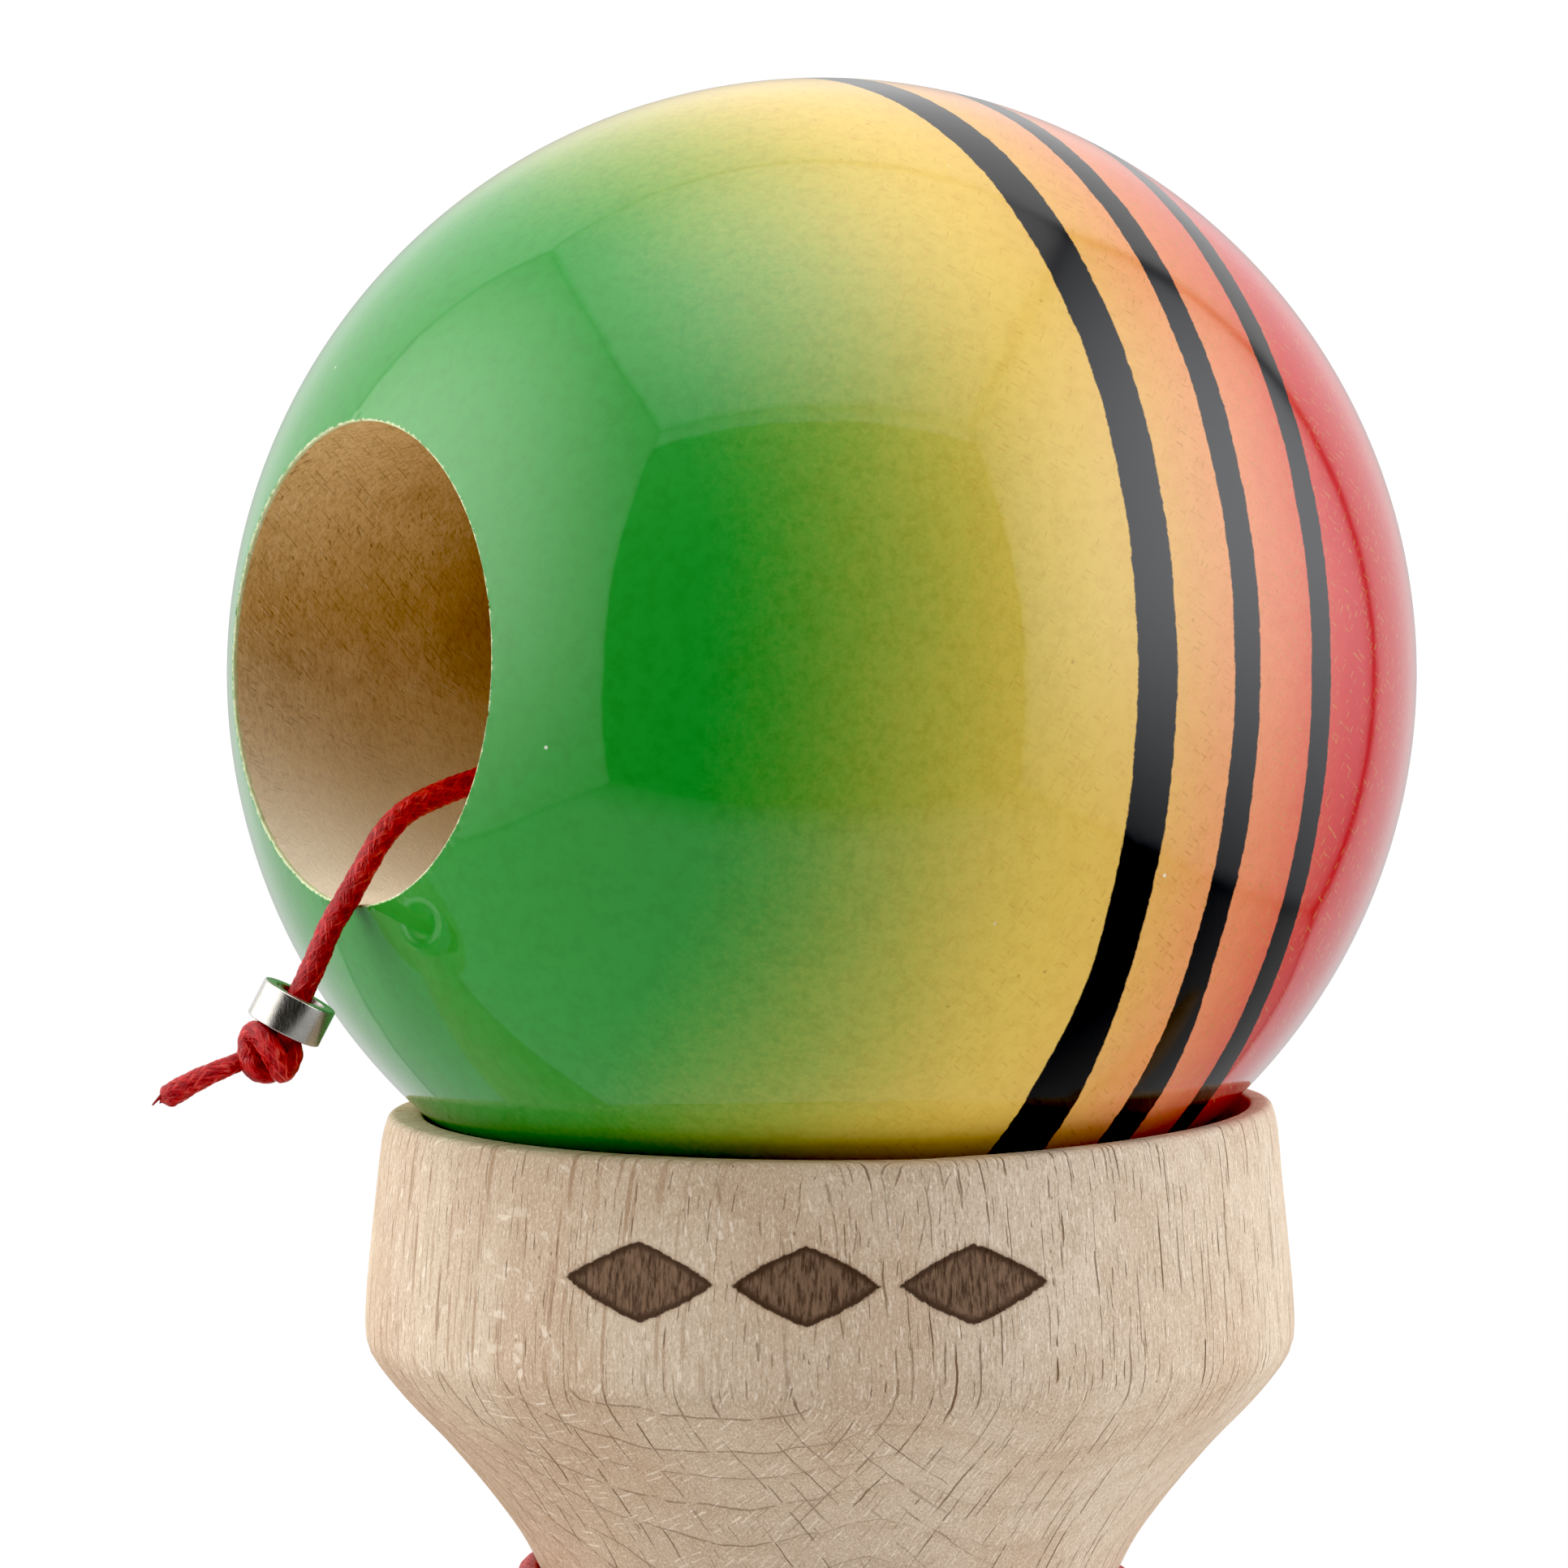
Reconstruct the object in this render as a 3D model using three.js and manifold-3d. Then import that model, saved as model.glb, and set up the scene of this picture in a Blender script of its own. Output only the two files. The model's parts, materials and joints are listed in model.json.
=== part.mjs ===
// A kendama, the wooden cup-and-ball toy, parked with its ball in the big cup.
// Millimetres, +Z up. The toy stands on the rim of its small cup at z = 0, the cross piece is
// upright, and the handle lies along X with its base cup towards -X and its spike towards +X.
// The origin is under the middle of the handle, on the surface that the toy stands on.
import * as THREE from "three";
import { mergeVertices } from "three/addons/utils/BufferGeometryUtils.js";
import Module from "manifold-3d";

const wasm = await Module();
wasm.setup();

// ---------------------------------------------------------------- driving dimensions
const GAP = 0.3;                       // clearance kept between pieces that touch

// handle (ken): distances are measured along it from the cross piece's axis
const SPIKE_REACH = 68;
const BASE_REACH = 100;
const SEAT_HALF = 12.9;                // half length of the tapered seat in the cross piece
const SEAT_R_BASE = 8.8;
const SEAT_R_SPIKE = 8.2;
const BASE_RIM_R = 18.6;
const BASE_LIP = 1.5;
const BASE_DISH_DEPTH = 8;

// cross piece (sarado)
const CROSS_X = (BASE_REACH - SPIKE_REACH) / 2;
const CROSS_H = 72;
const KEN_Z = CROSS_H / 2;
const BIG_RIM_R = 22.45;
const BIG_INNER_R = 20.55;
const BIG_DISH_DEPTH = 14;
const SMALL_RIM_R = 20.3;
const SMALL_INNER_R = 18.5;
const SMALL_DISH_DEPTH = 10;
const RIM_ROUND = 0.3;

// ball (tama)
const BALL_R = 30;
const BALL_Z = CROSS_H + 22.23;
const BALL_AZIMUTH = THREE.MathUtils.degToRad(55);   // big hole, from -Y towards -X
const BALL_TILT = THREE.MathUtils.degToRad(2.2);     // big hole, above the horizontal
const BORE_R = 11.8;
const BORE_R_DEEP = 10.8;
const BORE_DEPTH = 38;
const LIP_ROUND = 0.5;

// string, its holes and its bead
const CORD_R = 0.625;
const CORD_SIDES = 8;
const CORD_STEP = 2.6;
const CORD_HOLE_R = 1.3;
const KNOT_POCKET_R = 2.3;
const KNOT_POCKET_DEPTH = 4;
const WIND_Z = [45.9, 50.3];           // the wound turns on the neck, bottom and top
const WIND_NECK_R = [13.75, 15.35];    // the neck's radius there
const BEAD_R = 1.85;
const BEAD_LENGTH = 1.95;
const BEAD_BORE_R = CORD_R + GAP;
const END_KNOT_R = 1.5;
const END_KNOT_HALF = 1.0;

const TURN_SEGMENTS = 48;
const SMALL_SEGMENTS = 20;

// ---------------------------------------------------------------- the ball's own directions
const ballCentre = new THREE.Vector3(CROSS_X, 0, BALL_Z);
const outward = new THREE.Vector3(-Math.sin(BALL_AZIMUTH), -Math.cos(BALL_AZIMUTH), 0);
const sideways = new THREE.Vector3(Math.cos(BALL_AZIMUTH), -Math.sin(BALL_AZIMUTH), 0);
const ballAxis = outward.clone().multiplyScalar(Math.cos(BALL_TILT));
ballAxis.z = Math.sin(BALL_TILT);

// a point by its distance along the big hole's heading, sideways and up from the ball's centre
function fromBall([along, side, up]) {
  const point = ballCentre.clone().addScaledVector(outward, along).addScaledVector(sideways, side);
  point.z += up;
  return point;
}

// a point by its radius, bearing in degrees and height on the cross piece's axis
function fromCross([radius, bearing, z]) {
  const angle = THREE.MathUtils.degToRad(bearing);
  return new THREE.Vector3(CROSS_X + radius * Math.cos(angle), radius * Math.sin(angle), z);
}

// ---------------------------------------------------------------- the string's route, by hand
// from the knot in the handle, out through the cross piece's back and up to the wound turns
const LEAD_ROUTE = [
  [0, -4.7, 36], [0, 0, 36], [0, 6, 36], [0, 12, 36], [0, 15, 36], [0.1, 16.8, 36.8],
  [0.4, 17.6, 38.6], [1.5, 17.2, 41], [3.4, 16.2, 43.1], [6.0, 14.5, 44.6], [8.6, 12.5, 45.0],
].map(([x, y, z]) => new THREE.Vector3(CROSS_X + x, y, z));
// from the wound turns up behind the big cup to the ball's small hole: radius, bearing, height
const RISE_ROUTE = [
  [16.9, 95, 51.25], [17.2, 86, 51.7], [18.1, 76, 52.8], [19.7, 66, 54.6], [21.8, 57.5, 57.1],
  [24.5, 50, 60.6], [26.4, 46, 66], [28.2, 42.5, 72], [30.0, 39.5, 78], [31.8, 37, 84],
  [32.9, 35.5, 88.5], [33.1, 35, 90.6], [32.6, 35, 92.3], [31.5, 35, 93],
].map(fromCross);
// through the ball's small hole and bore, over the lip of the big hole and through the bead
const END_ROUTE = [
  [-31.1, 0, -1.2], [-29, 0, -1.11], [-22, 0, -0.85], [-15, 0, -0.6], [-8, 0.1, -0.75],
  [0, 0.2, -1.35], [8, 0.3, -2.3], [15, 0.4, -3.45], [20, 0.45, -4.45], [23.4, 0.52, -5.35],
  [25.3, 0.55, -6.2], [26.9, 0.56, -7.4], [28.0, 0.58, -8.8], [28.75, 0.59, -10.2],
  [29.6, 0.61, -11.6], [30.35, 0.62, -13], [31.05, 0.63, -14.25], [31.7, 0.64, -15.4],
  [32.25, 0.65, -16.4],
].map(fromBall);
const TAIL_ROUTE = [
  [34.75, 0.68, -17.85], [35.8, 0.7, -18.1], [37.2, 0.72, -18.6], [38.9, 0.74, -19.25],
].map(fromBall);
const BEAD_CENTRE = fromBall([31.7, 0.64, -15.4]);
const END_KNOT_CENTRE = fromBall([33.0, 0.66, -17.6]);
const BEAD_AXIS = fromBall([32.25, 0.65, -16.4]).sub(fromBall([31.05, 0.63, -14.25])).normalize();

// ---------------------------------------------------------------- materials
const beech = () => new THREE.MeshStandardMaterial({ color: 0xcdb9a0, roughness: 0.7, metalness: 0 });
const lacquer = () => new THREE.MeshStandardMaterial({ color: 0x3ca046, roughness: 0.08, metalness: 0 });
const waxedCord = () => new THREE.MeshStandardMaterial({ color: 0xb3242a, roughness: 0.5, metalness: 0 });
const steel = () => new THREE.MeshStandardMaterial({ color: 0xc8c8c4, roughness: 0.2, metalness: 1 });

// ---------------------------------------------------------------- outlines and solids
const v2 = (x, y) => new THREE.Vector2(x, y);

// points of a circular arc in the outline's plane, angles in degrees
function arc(cx, cy, radius, from, to, steps) {
  const points = [];
  for (let i = 0; i <= steps; i += 1) {
    const angle = THREE.MathUtils.degToRad(from + ((to - from) * i) / steps);
    points.push(v2(cx + radius * Math.cos(angle), cy + radius * Math.sin(angle)));
  }
  return points;
}

// a smooth outline through the given [radius, height] pairs
function smooth(pairs, steps) {
  return new THREE.SplineCurve(pairs.map(([r, h]) => v2(r, h))).getPoints(steps);
}

// the hollow of a cup that opens upwards at `rim`: its outline from the axis out to the rim
function dish(rim, innerRadius, depth, steps) {
  const radius = (innerRadius ** 2 + depth ** 2) / (2 * depth);
  const edge = THREE.MathUtils.radToDeg(Math.asin((depth - radius) / radius));
  return arc(0, rim - depth + radius, radius, -90, edge, steps);
}

// the same hollow opening downwards
function dishBelow(rim, innerRadius, depth, steps) {
  return dish(-rim, innerRadius, depth, steps).map((p) => v2(p.x, -p.y));
}

// a lathe solid turned about +Z; the outline runs upwards with the material on its axis side
function turned(outline, segments = TURN_SEGMENTS) {
  const points = outline.map((p) => v2(p.x < 1e-6 ? 0 : p.x, p.y));
  return new THREE.LatheGeometry(points, segments).rotateX(Math.PI / 2);
}

// a plain cylinder between two points, for holes
function rod(from, to, radius, segments = SMALL_SEGMENTS) {
  const axis = to.clone().sub(from);
  const geometry = new THREE.CylinderGeometry(radius, radius, axis.length(), segments);
  const turn = new THREE.Quaternion().setFromUnitVectors(
    new THREE.Vector3(0, 1, 0), axis.clone().normalize());
  geometry.applyQuaternion(turn);
  const middle = from.clone().add(to).multiplyScalar(0.5);
  return geometry.translate(middle.x, middle.y, middle.z);
}

// a tube of the cord's section along a route
function cordAlong(route) {
  const curve = new THREE.CatmullRomCurve3(route);
  const section = new THREE.Shape(new THREE.EllipseCurve(0, 0, CORD_R, CORD_R).getPoints(CORD_SIDES).slice(1));
  const steps = Math.ceil(curve.getLength() / CORD_STEP);
  return new THREE.ExtrudeGeometry(section, { steps, extrudePath: curve });
}

// ---------------------------------------------------------------- cutting
function toManifold(geometry) {
  const bare = geometry.clone();
  bare.deleteAttribute("normal");
  bare.deleteAttribute("uv");
  const welded = mergeVertices(bare, 1e-4);
  const index = welded.index.array;
  const triangles = [];
  for (let i = 0; i < index.length; i += 3) {
    const [a, b, c] = [index[i], index[i + 1], index[i + 2]];
    if (a !== b && b !== c && c !== a) {
      triangles.push(a, b, c);
    }
  }
  return new wasm.Manifold(new wasm.Mesh({
    numProp: 3,
    vertProperties: new Float32Array(welded.attributes.position.array),
    triVerts: new Uint32Array(triangles),
  }));
}

function fromManifold(solid) {
  const mesh = solid.getMesh();
  const geometry = new THREE.BufferGeometry();
  geometry.setAttribute("position", new THREE.BufferAttribute(mesh.vertProperties, 3));
  geometry.setIndex(new THREE.BufferAttribute(mesh.triVerts, 1));
  geometry.computeVertexNormals();
  return geometry;
}

function cut(geometry, tools) {
  const solid = tools.reduce((rest, tool) => rest.subtract(toManifold(tool)), toManifold(geometry));
  return fromManifold(solid);
}

// ---------------------------------------------------------------- the pieces
// the cross piece with a big and a small cup, turned from one block
function crossPiece() {
  const outline = [
    ...dishBelow(0, SMALL_INNER_R, SMALL_DISH_DEPTH, 9).slice(0, -1),
    v2(SMALL_INNER_R + 0.02, RIM_ROUND),
    v2(SMALL_INNER_R + RIM_ROUND, 0),
    v2(SMALL_RIM_R - RIM_ROUND, 0),
    v2(SMALL_RIM_R, RIM_ROUND),
    ...smooth([[20.55, 3.5], [20.95, 8], [21.05, 10.4], [20.6, 11.7], [18.6, 14], [16.4, 17.4],
      [14.4, 22.5], [13.3, 28.5], [12.9, 36], [13.1, 41.5], [13.9, 46.5], [15.2, 50],
      [16.75, 52.4], [19.35, 55.55], [21.45, 57.75], [23.2, 60.15], [23.5, 61.2],
      [23.4, 63.5], [23.05, 66.8], [22.65, 70.6]], 34),
    v2(BIG_RIM_R, CROSS_H - RIM_ROUND),
    v2(BIG_RIM_R - RIM_ROUND, CROSS_H),
    v2(BIG_INNER_R + RIM_ROUND, CROSS_H),
    ...dish(CROSS_H, BIG_INNER_R, BIG_DISH_DEPTH, 11).reverse(),
  ];
  const body = turned(outline).translate(CROSS_X, 0, 0);
  const reach = 30;
  const taper = (SEAT_R_BASE - SEAT_R_SPIKE) / (2 * SEAT_HALF);
  const middle = (SEAT_R_BASE + SEAT_R_SPIKE) / 2 + GAP;
  const bore = new THREE.CylinderGeometry(
    middle + taper * reach, middle - taper * reach, 2 * reach, TURN_SEGMENTS);
  bore.rotateZ(Math.PI / 2).translate(CROSS_X, 0, KEN_Z);
  const stringHole = rod(
    new THREE.Vector3(CROSS_X, 6, KEN_Z), new THREE.Vector3(CROSS_X, 20, KEN_Z), CORD_HOLE_R);
  return cut(body, [bore, stringHole]);
}

// the handle: base cup, grip, tapered seat and spike, with the string's cross hole
function handle() {
  const tip = arc(0, SPIKE_REACH - 2.6, 2.6, 15, 90, 4);
  const outline = [
    ...dishBelow(-BASE_REACH, BASE_RIM_R - BASE_LIP, BASE_DISH_DEPTH, 8).slice(0, -1),
    v2(BASE_RIM_R - BASE_LIP + 0.02, -BASE_REACH + RIM_ROUND),
    v2(BASE_RIM_R - BASE_LIP + RIM_ROUND, -BASE_REACH),
    v2(BASE_RIM_R - RIM_ROUND, -BASE_REACH),
    v2(BASE_RIM_R, -BASE_REACH + RIM_ROUND),
    ...smooth([[18.85, -96.5], [19.05, -92.6], [18.6, -91.2], [15.8, -88], [11.8, -83.6],
      [8.9, -79.4], [7.4, -75], [7.1, -70.5], [7.6, -64], [8.9, -54], [10.1, -43], [10.3, -34],
      [9.8, -24], [9.1, -16.5]], 26),
    v2(SEAT_R_BASE, -SEAT_HALF),
    v2(SEAT_R_SPIKE, SEAT_HALF),
    ...smooth([[8.0, 16], [7.35, 27], [6.3, 39], [4.9, 51], [3.4, 60.5], [2.75, 64]], 9),
    ...tip,
  ];
  const body = turned(outline, 40).rotateY(Math.PI / 2).translate(CROSS_X, 0, KEN_Z);
  const pocketEdge = -SEAT_R_BASE - 1;
  const stringHole = rod(
    new THREE.Vector3(CROSS_X, pocketEdge, KEN_Z), new THREE.Vector3(CROSS_X, 12, KEN_Z), CORD_HOLE_R);
  const knotPocket = rod(
    new THREE.Vector3(CROSS_X, pocketEdge, KEN_Z),
    new THREE.Vector3(CROSS_X, KNOT_POCKET_DEPTH - (SEAT_R_BASE + SEAT_R_SPIKE) / 2, KEN_Z),
    KNOT_POCKET_R);
  return cut(body, [stringHole, knotPocket]);
}

// the ball: a sphere with the deep tapered hole, and the string's small hole at the other pole
function ball() {
  const lip = Math.sqrt(BALL_R ** 2 - (BORE_R + LIP_ROUND) ** 2);
  const pole = (x) => THREE.MathUtils.radToDeg(Math.acos(x / BALL_R));
  const boreEnd = lip - BORE_DEPTH;
  const outline = [
    v2(CORD_HOLE_R, boreEnd - 4.5),
    v2(CORD_HOLE_R, -BALL_R + 0.6),
    ...arc(0, 0, BALL_R, -pole(CORD_HOLE_R + 0.6), pole(BORE_R + LIP_ROUND), 30),
    v2(BORE_R, lip - LIP_ROUND),
    v2(BORE_R_DEEP, boreEnd),
    v2(BORE_R_DEEP * 0.55, boreEnd - 3.2),
    v2(CORD_HOLE_R, boreEnd - 4.5),
  ];
  return turned(outline, TURN_SEGMENTS);
}

// the string's turns on the neck, as one ring of their outer shape
function woundTurns() {
  const inner = WIND_NECK_R.map((r) => r + GAP);
  const outline = [
    v2(inner[0], WIND_Z[0]),
    v2(inner[0] + 2 * CORD_R, WIND_Z[0]),
    v2(inner[1] + 2 * CORD_R, WIND_Z[1]),
    v2(inner[1], WIND_Z[1]),
    v2(inner[0], WIND_Z[0]),
  ];
  return turned(outline, TURN_SEGMENTS).translate(CROSS_X, 0, 0);
}

// a tied knot, as a rounded bead of the knot's outer shape, about +Z
function knot(radius, half) {
  const outline = arc(0, 0, radius, -90, 90, 8).map((p) => v2(p.x, (p.y * half) / radius));
  return turned(outline, 12);
}

// the metal ring bead, about +Z
function bead() {
  const edge = 0.15;
  const half = BEAD_LENGTH / 2;
  const outline = [
    v2(BEAD_BORE_R, -half),
    v2(BEAD_R - edge, -half),
    v2(BEAD_R, -half + edge),
    v2(BEAD_R, half - edge),
    v2(BEAD_R - edge, half),
    v2(BEAD_BORE_R, half),
    v2(BEAD_BORE_R, -half),
  ];
  return turned(outline, 24);
}

// ---------------------------------------------------------------- the assembly
const group = new THREE.Group();

function place(name, geometry, material, position = null, direction = null) {
  const mesh = new THREE.Mesh(geometry, material);
  mesh.name = name;
  if (position) {
    mesh.position.copy(position);
  }
  if (direction) {
    mesh.quaternion.setFromUnitVectors(new THREE.Vector3(0, 0, 1), direction);
  }
  group.add(mesh);
}

const kenKnotCentre = new THREE.Vector3(CROSS_X, -6.7, KEN_Z);

place("ken", handle(), beech());
place("sarado", crossPiece(), beech());
place("tama", ball(), lacquer(), ballCentre, ballAxis);
place("string_lead", cordAlong(LEAD_ROUTE), waxedCord());
place("string_turns", woundTurns(), waxedCord());
place("string_rise", cordAlong(RISE_ROUTE), waxedCord());
place("string_end", cordAlong(END_ROUTE), waxedCord());
place("string_tail", cordAlong(TAIL_ROUTE), waxedCord());
place("ken_knot", knot(1.8, 1.55), waxedCord(), kenKnotCentre, new THREE.Vector3(0, 1, 0));
place("end_knot", knot(END_KNOT_R, END_KNOT_HALF), waxedCord(), END_KNOT_CENTRE, BEAD_AXIS);
place("bead", bead(), steel(), BEAD_CENTRE, BEAD_AXIS);

export default group;
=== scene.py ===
# A kendama: a lacquered ball parked in the big cup of a beech cross piece, with its waxed string.
# Places are in metres, in the CAD model's frame. Sizes, routes and outlines are in millimetres,
# and MM turns them into metres.
import json
import math

import bmesh
import bpy
import numpy as np
from mathutils import Matrix, Vector, noise


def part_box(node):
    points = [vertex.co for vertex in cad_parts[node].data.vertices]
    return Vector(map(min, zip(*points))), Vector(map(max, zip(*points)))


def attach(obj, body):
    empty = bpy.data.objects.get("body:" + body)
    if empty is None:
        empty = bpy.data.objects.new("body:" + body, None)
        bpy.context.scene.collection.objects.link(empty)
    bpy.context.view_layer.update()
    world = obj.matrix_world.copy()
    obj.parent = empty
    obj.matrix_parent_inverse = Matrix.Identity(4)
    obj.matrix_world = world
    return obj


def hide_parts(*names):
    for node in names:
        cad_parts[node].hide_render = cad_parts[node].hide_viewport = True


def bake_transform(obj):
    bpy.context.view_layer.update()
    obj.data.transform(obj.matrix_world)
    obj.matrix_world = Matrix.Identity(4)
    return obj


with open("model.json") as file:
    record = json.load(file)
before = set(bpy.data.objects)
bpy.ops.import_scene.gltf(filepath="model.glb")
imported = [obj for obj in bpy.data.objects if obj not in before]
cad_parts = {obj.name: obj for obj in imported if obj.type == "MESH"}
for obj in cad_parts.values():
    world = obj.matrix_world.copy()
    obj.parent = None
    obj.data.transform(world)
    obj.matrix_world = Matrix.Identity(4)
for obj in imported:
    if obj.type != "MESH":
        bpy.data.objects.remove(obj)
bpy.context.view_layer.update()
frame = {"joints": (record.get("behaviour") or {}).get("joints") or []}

MM = 0.001
TAU = 2 * math.pi

# ---------------------------------------------------------------- places, from the frame
spin = next(j for j in frame["joints"] if j["name"] == "tama_spin")
BALL = Vector(spin["pos_m"])
SPIN_AXIS = Vector(spin["axis"]).normalized()
OUTWARD = Vector((SPIN_AXIS.x, SPIN_AXIS.y, 0)).normalized()
SIDEWAYS = Vector((-OUTWARD.y, OUTWARD.x, 0))
cross_low, cross_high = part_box("sarado")
ken_low, ken_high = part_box("ken")
CROSS_X = (cross_low.x + cross_high.x) / 2
KEN_Z = (ken_low.z + ken_high.z) / 2
RIM_Z = cross_high.z
# the ball leans back a little and sits a little off the cup's middle
BALL_TILT = math.radians(2.55)
HOLE_AXIS = OUTWARD * math.cos(BALL_TILT) + Vector((0, 0, math.sin(BALL_TILT)))
PAINT_TILT = math.radians(1.85)
PAINT_AXIS = OUTWARD * math.cos(PAINT_TILT) + Vector((0, 0, math.sin(PAINT_TILT)))
CUP_X = CROSS_X + 0.00042

# ---------------------------------------------------------------- sizes, in millimetres
BALL_R = 30
BORE_R = 11.75
LIP_ROUND = 0.11
BORE_R_DEEP = 10.8
BORE_DEPTH = 38
CORD_R = 0.625
KNOT_CORD_R = 0.60
CORD_HOLE_R = 1.3
RIM_ROUND = 0.45
BEAD_R = 1.9
BEAD_HALF = 0.95
BEAD_BORE_R = 1.25


def from_ball(along, side, up):
    """A point by its distance along the big hole's heading, sideways and up, in mm."""
    return BALL + (OUTWARD * along + SIDEWAYS * side + Vector((0, 0, up))) * MM


def from_cross(radius, bearing, z):
    """A point by its radius and height in mm and its bearing in degrees."""
    angle = math.radians(bearing)
    return Vector((CUP_X + radius * math.cos(angle) * MM, radius * math.sin(angle) * MM, z * MM))


# ---------------------------------------------------------------- camera
CAMERA_FROM_BALL = (-1.9, -400, 18.5)
CAMERA_DOWN = 3.45
LENS = 181.8
SENSOR = 36


def make_camera():
    data = bpy.data.cameras.new("camera")
    data.sensor_width = SENSOR
    data.lens = LENS
    data.clip_start = 0.01
    data.clip_end = 50
    camera = bpy.data.objects.new("camera", data)
    camera.location = BALL + Vector(CAMERA_FROM_BALL) * MM
    camera.rotation_euler = (math.radians(90 - CAMERA_DOWN), 0, 0)
    bpy.context.scene.collection.objects.link(camera)
    bpy.context.scene.camera = camera


# ---------------------------------------------------------------- mesh helpers
def new_object(name, vertices, faces, materials=()):
    mesh = bpy.data.meshes.new(name)
    mesh.from_pydata(vertices, [], faces)
    mesh.update()
    obj = bpy.data.objects.new(name, mesh)
    bpy.context.scene.collection.objects.link(obj)
    for material in materials:
        mesh.materials.append(material)
    mesh.shade_smooth()
    return obj


def stitch(lower, upper):
    """Faces between two rings of vertex numbers, whose counts are equal or multiples."""
    if len(lower) == 1 and len(upper) == 1:
        return []
    if len(lower) == 1:
        return [(lower[0], upper[(i + 1) % len(upper)], upper[i]) for i in range(len(upper))]
    if len(upper) == 1:
        return [(lower[i], lower[(i + 1) % len(lower)], upper[0]) for i in range(len(lower))]
    faces = []
    if len(lower) == len(upper):
        count = len(lower)
        for i in range(count):
            j = (i + 1) % count
            faces.append((lower[i], lower[j], upper[j], upper[i]))
        return faces
    coarse, fine, flip = (lower, upper, False) if len(lower) < len(upper) else (upper, lower, True)
    step = len(fine) // len(coarse)
    for i in range(len(coarse)):
        a, b = coarse[i], coarse[(i + 1) % len(coarse)]
        for k in range(step):
            c, d = fine[i * step + k], fine[(i * step + k + 1) % len(fine)]
            base = a if k < step / 2 else b
            faces.append((base, c, d) if flip else (base, d, c))
        middle = fine[(i * step + (step + 1) // 2) % len(fine)]
        faces.append((a, middle, b) if flip else (a, b, middle))
    return faces


def revolve(name, profile, place, materials, closed=False, shift=None):
    """A turned piece. profile lists (radius, height, segments, material number) in mm, with the
    material on the axis side of an upward profile; shift(angle, radius, height) moves points."""
    vertices = []
    rings = []
    for radius, height, segments, _ in profile:
        count = 1 if radius < 1e-6 else segments
        ring = []
        for i in range(count):
            angle = TAU * i / count
            r, h = radius, height
            if shift and count > 1:
                dr, dh = shift(angle, radius, height)
                r, h = radius + dr, height + dh
            ring.append(len(vertices))
            local = Vector((r * math.cos(angle), r * math.sin(angle), h)) * MM
            vertices.append(place @ local)
        rings.append(ring)
    faces = []
    numbers = []
    pairs = list(zip(rings, rings[1:], profile))
    if closed:
        pairs.append((rings[-1], rings[0], profile[-1]))
    for lower, upper, spec in pairs:
        new_faces = stitch(lower, upper)
        faces += new_faces
        numbers += [spec[3]] * len(new_faces)
    obj = new_object(name, vertices, faces, materials)
    obj.data.polygons.foreach_set("material_index", numbers)
    obj.data.set_sharp_from_angle(angle=math.radians(40))
    return obj


def turned(points, segments):
    """Profile points of one material, all with the same number of segments."""
    return [(r, h, segments, 0) for r, h in points]


def through(points, spacing):
    """Evenly spaced points on the smooth curve through the given ones (centripetal spline)."""
    p = [np.array(q, float) for q in points]
    p = [2 * p[0] - p[1]] + p + [2 * p[-1] - p[-2]]
    fine = []
    for a, b, c, d in zip(p, p[1:], p[2:], p[3:]):
        t0 = 0
        t1 = t0 + np.linalg.norm(b - a) ** 0.5
        t2 = t1 + np.linalg.norm(c - b) ** 0.5
        t3 = t2 + np.linalg.norm(d - c) ** 0.5
        for t in np.linspace(t1, t2, 24, endpoint=False):
            a1 = (t1 - t) / (t1 - t0) * a + (t - t0) / (t1 - t0) * b
            a2 = (t2 - t) / (t2 - t1) * b + (t - t1) / (t2 - t1) * c
            a3 = (t3 - t) / (t3 - t2) * c + (t - t2) / (t3 - t2) * d
            b1 = (t2 - t) / (t2 - t0) * a1 + (t - t0) / (t2 - t0) * a2
            b2 = (t3 - t) / (t3 - t1) * a2 + (t - t1) / (t3 - t1) * a3
            fine.append((t2 - t) / (t2 - t1) * b1 + (t - t1) / (t2 - t1) * b2)
    fine.append(p[-2])
    fine = np.array(fine)
    run = np.concatenate([[0], np.cumsum(np.linalg.norm(np.diff(fine, axis=0), axis=1))])
    count = max(2, round(run[-1] / spacing))
    at = np.linspace(0, run[-1], count + 1)
    return np.stack([np.interp(at, run, fine[:, k]) for k in range(fine.shape[1])], axis=1)


def smooth_profile(pairs, spacing):
    return [tuple(q) for q in through(pairs, spacing)]


def arc(cx, cy, radius, start, end, steps):
    angles = np.radians(np.linspace(start, end, steps + 1))
    return [(cx + radius * math.cos(a), cy + radius * math.sin(a)) for a in angles]


def dish(rim, inner, depth, steps):
    """The hollow of a cup that opens upwards, from its axis out to the rim's inner edge."""
    radius = (inner**2 + depth**2) / (2 * depth)
    edge = math.degrees(math.asin((depth - radius) / radius))
    return arc(0, rim - depth + radius, radius, -90, edge, steps)


def cut_away(obj, tools):
    """Cuts the tools out of obj for good."""
    for tool in tools:
        modifier = obj.modifiers.new("cut", "BOOLEAN")
        modifier.object = tool
        modifier.solver = "EXACT"
        graph = bpy.context.evaluated_depsgraph_get()
        mesh = bpy.data.meshes.new_from_object(obj.evaluated_get(graph))
        obj.modifiers.remove(modifier)
        old = obj.data
        obj.data = mesh
        bpy.data.meshes.remove(old)
        bpy.data.objects.remove(tool)
    obj.data.set_sharp_from_angle(angle=math.radians(40))


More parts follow.
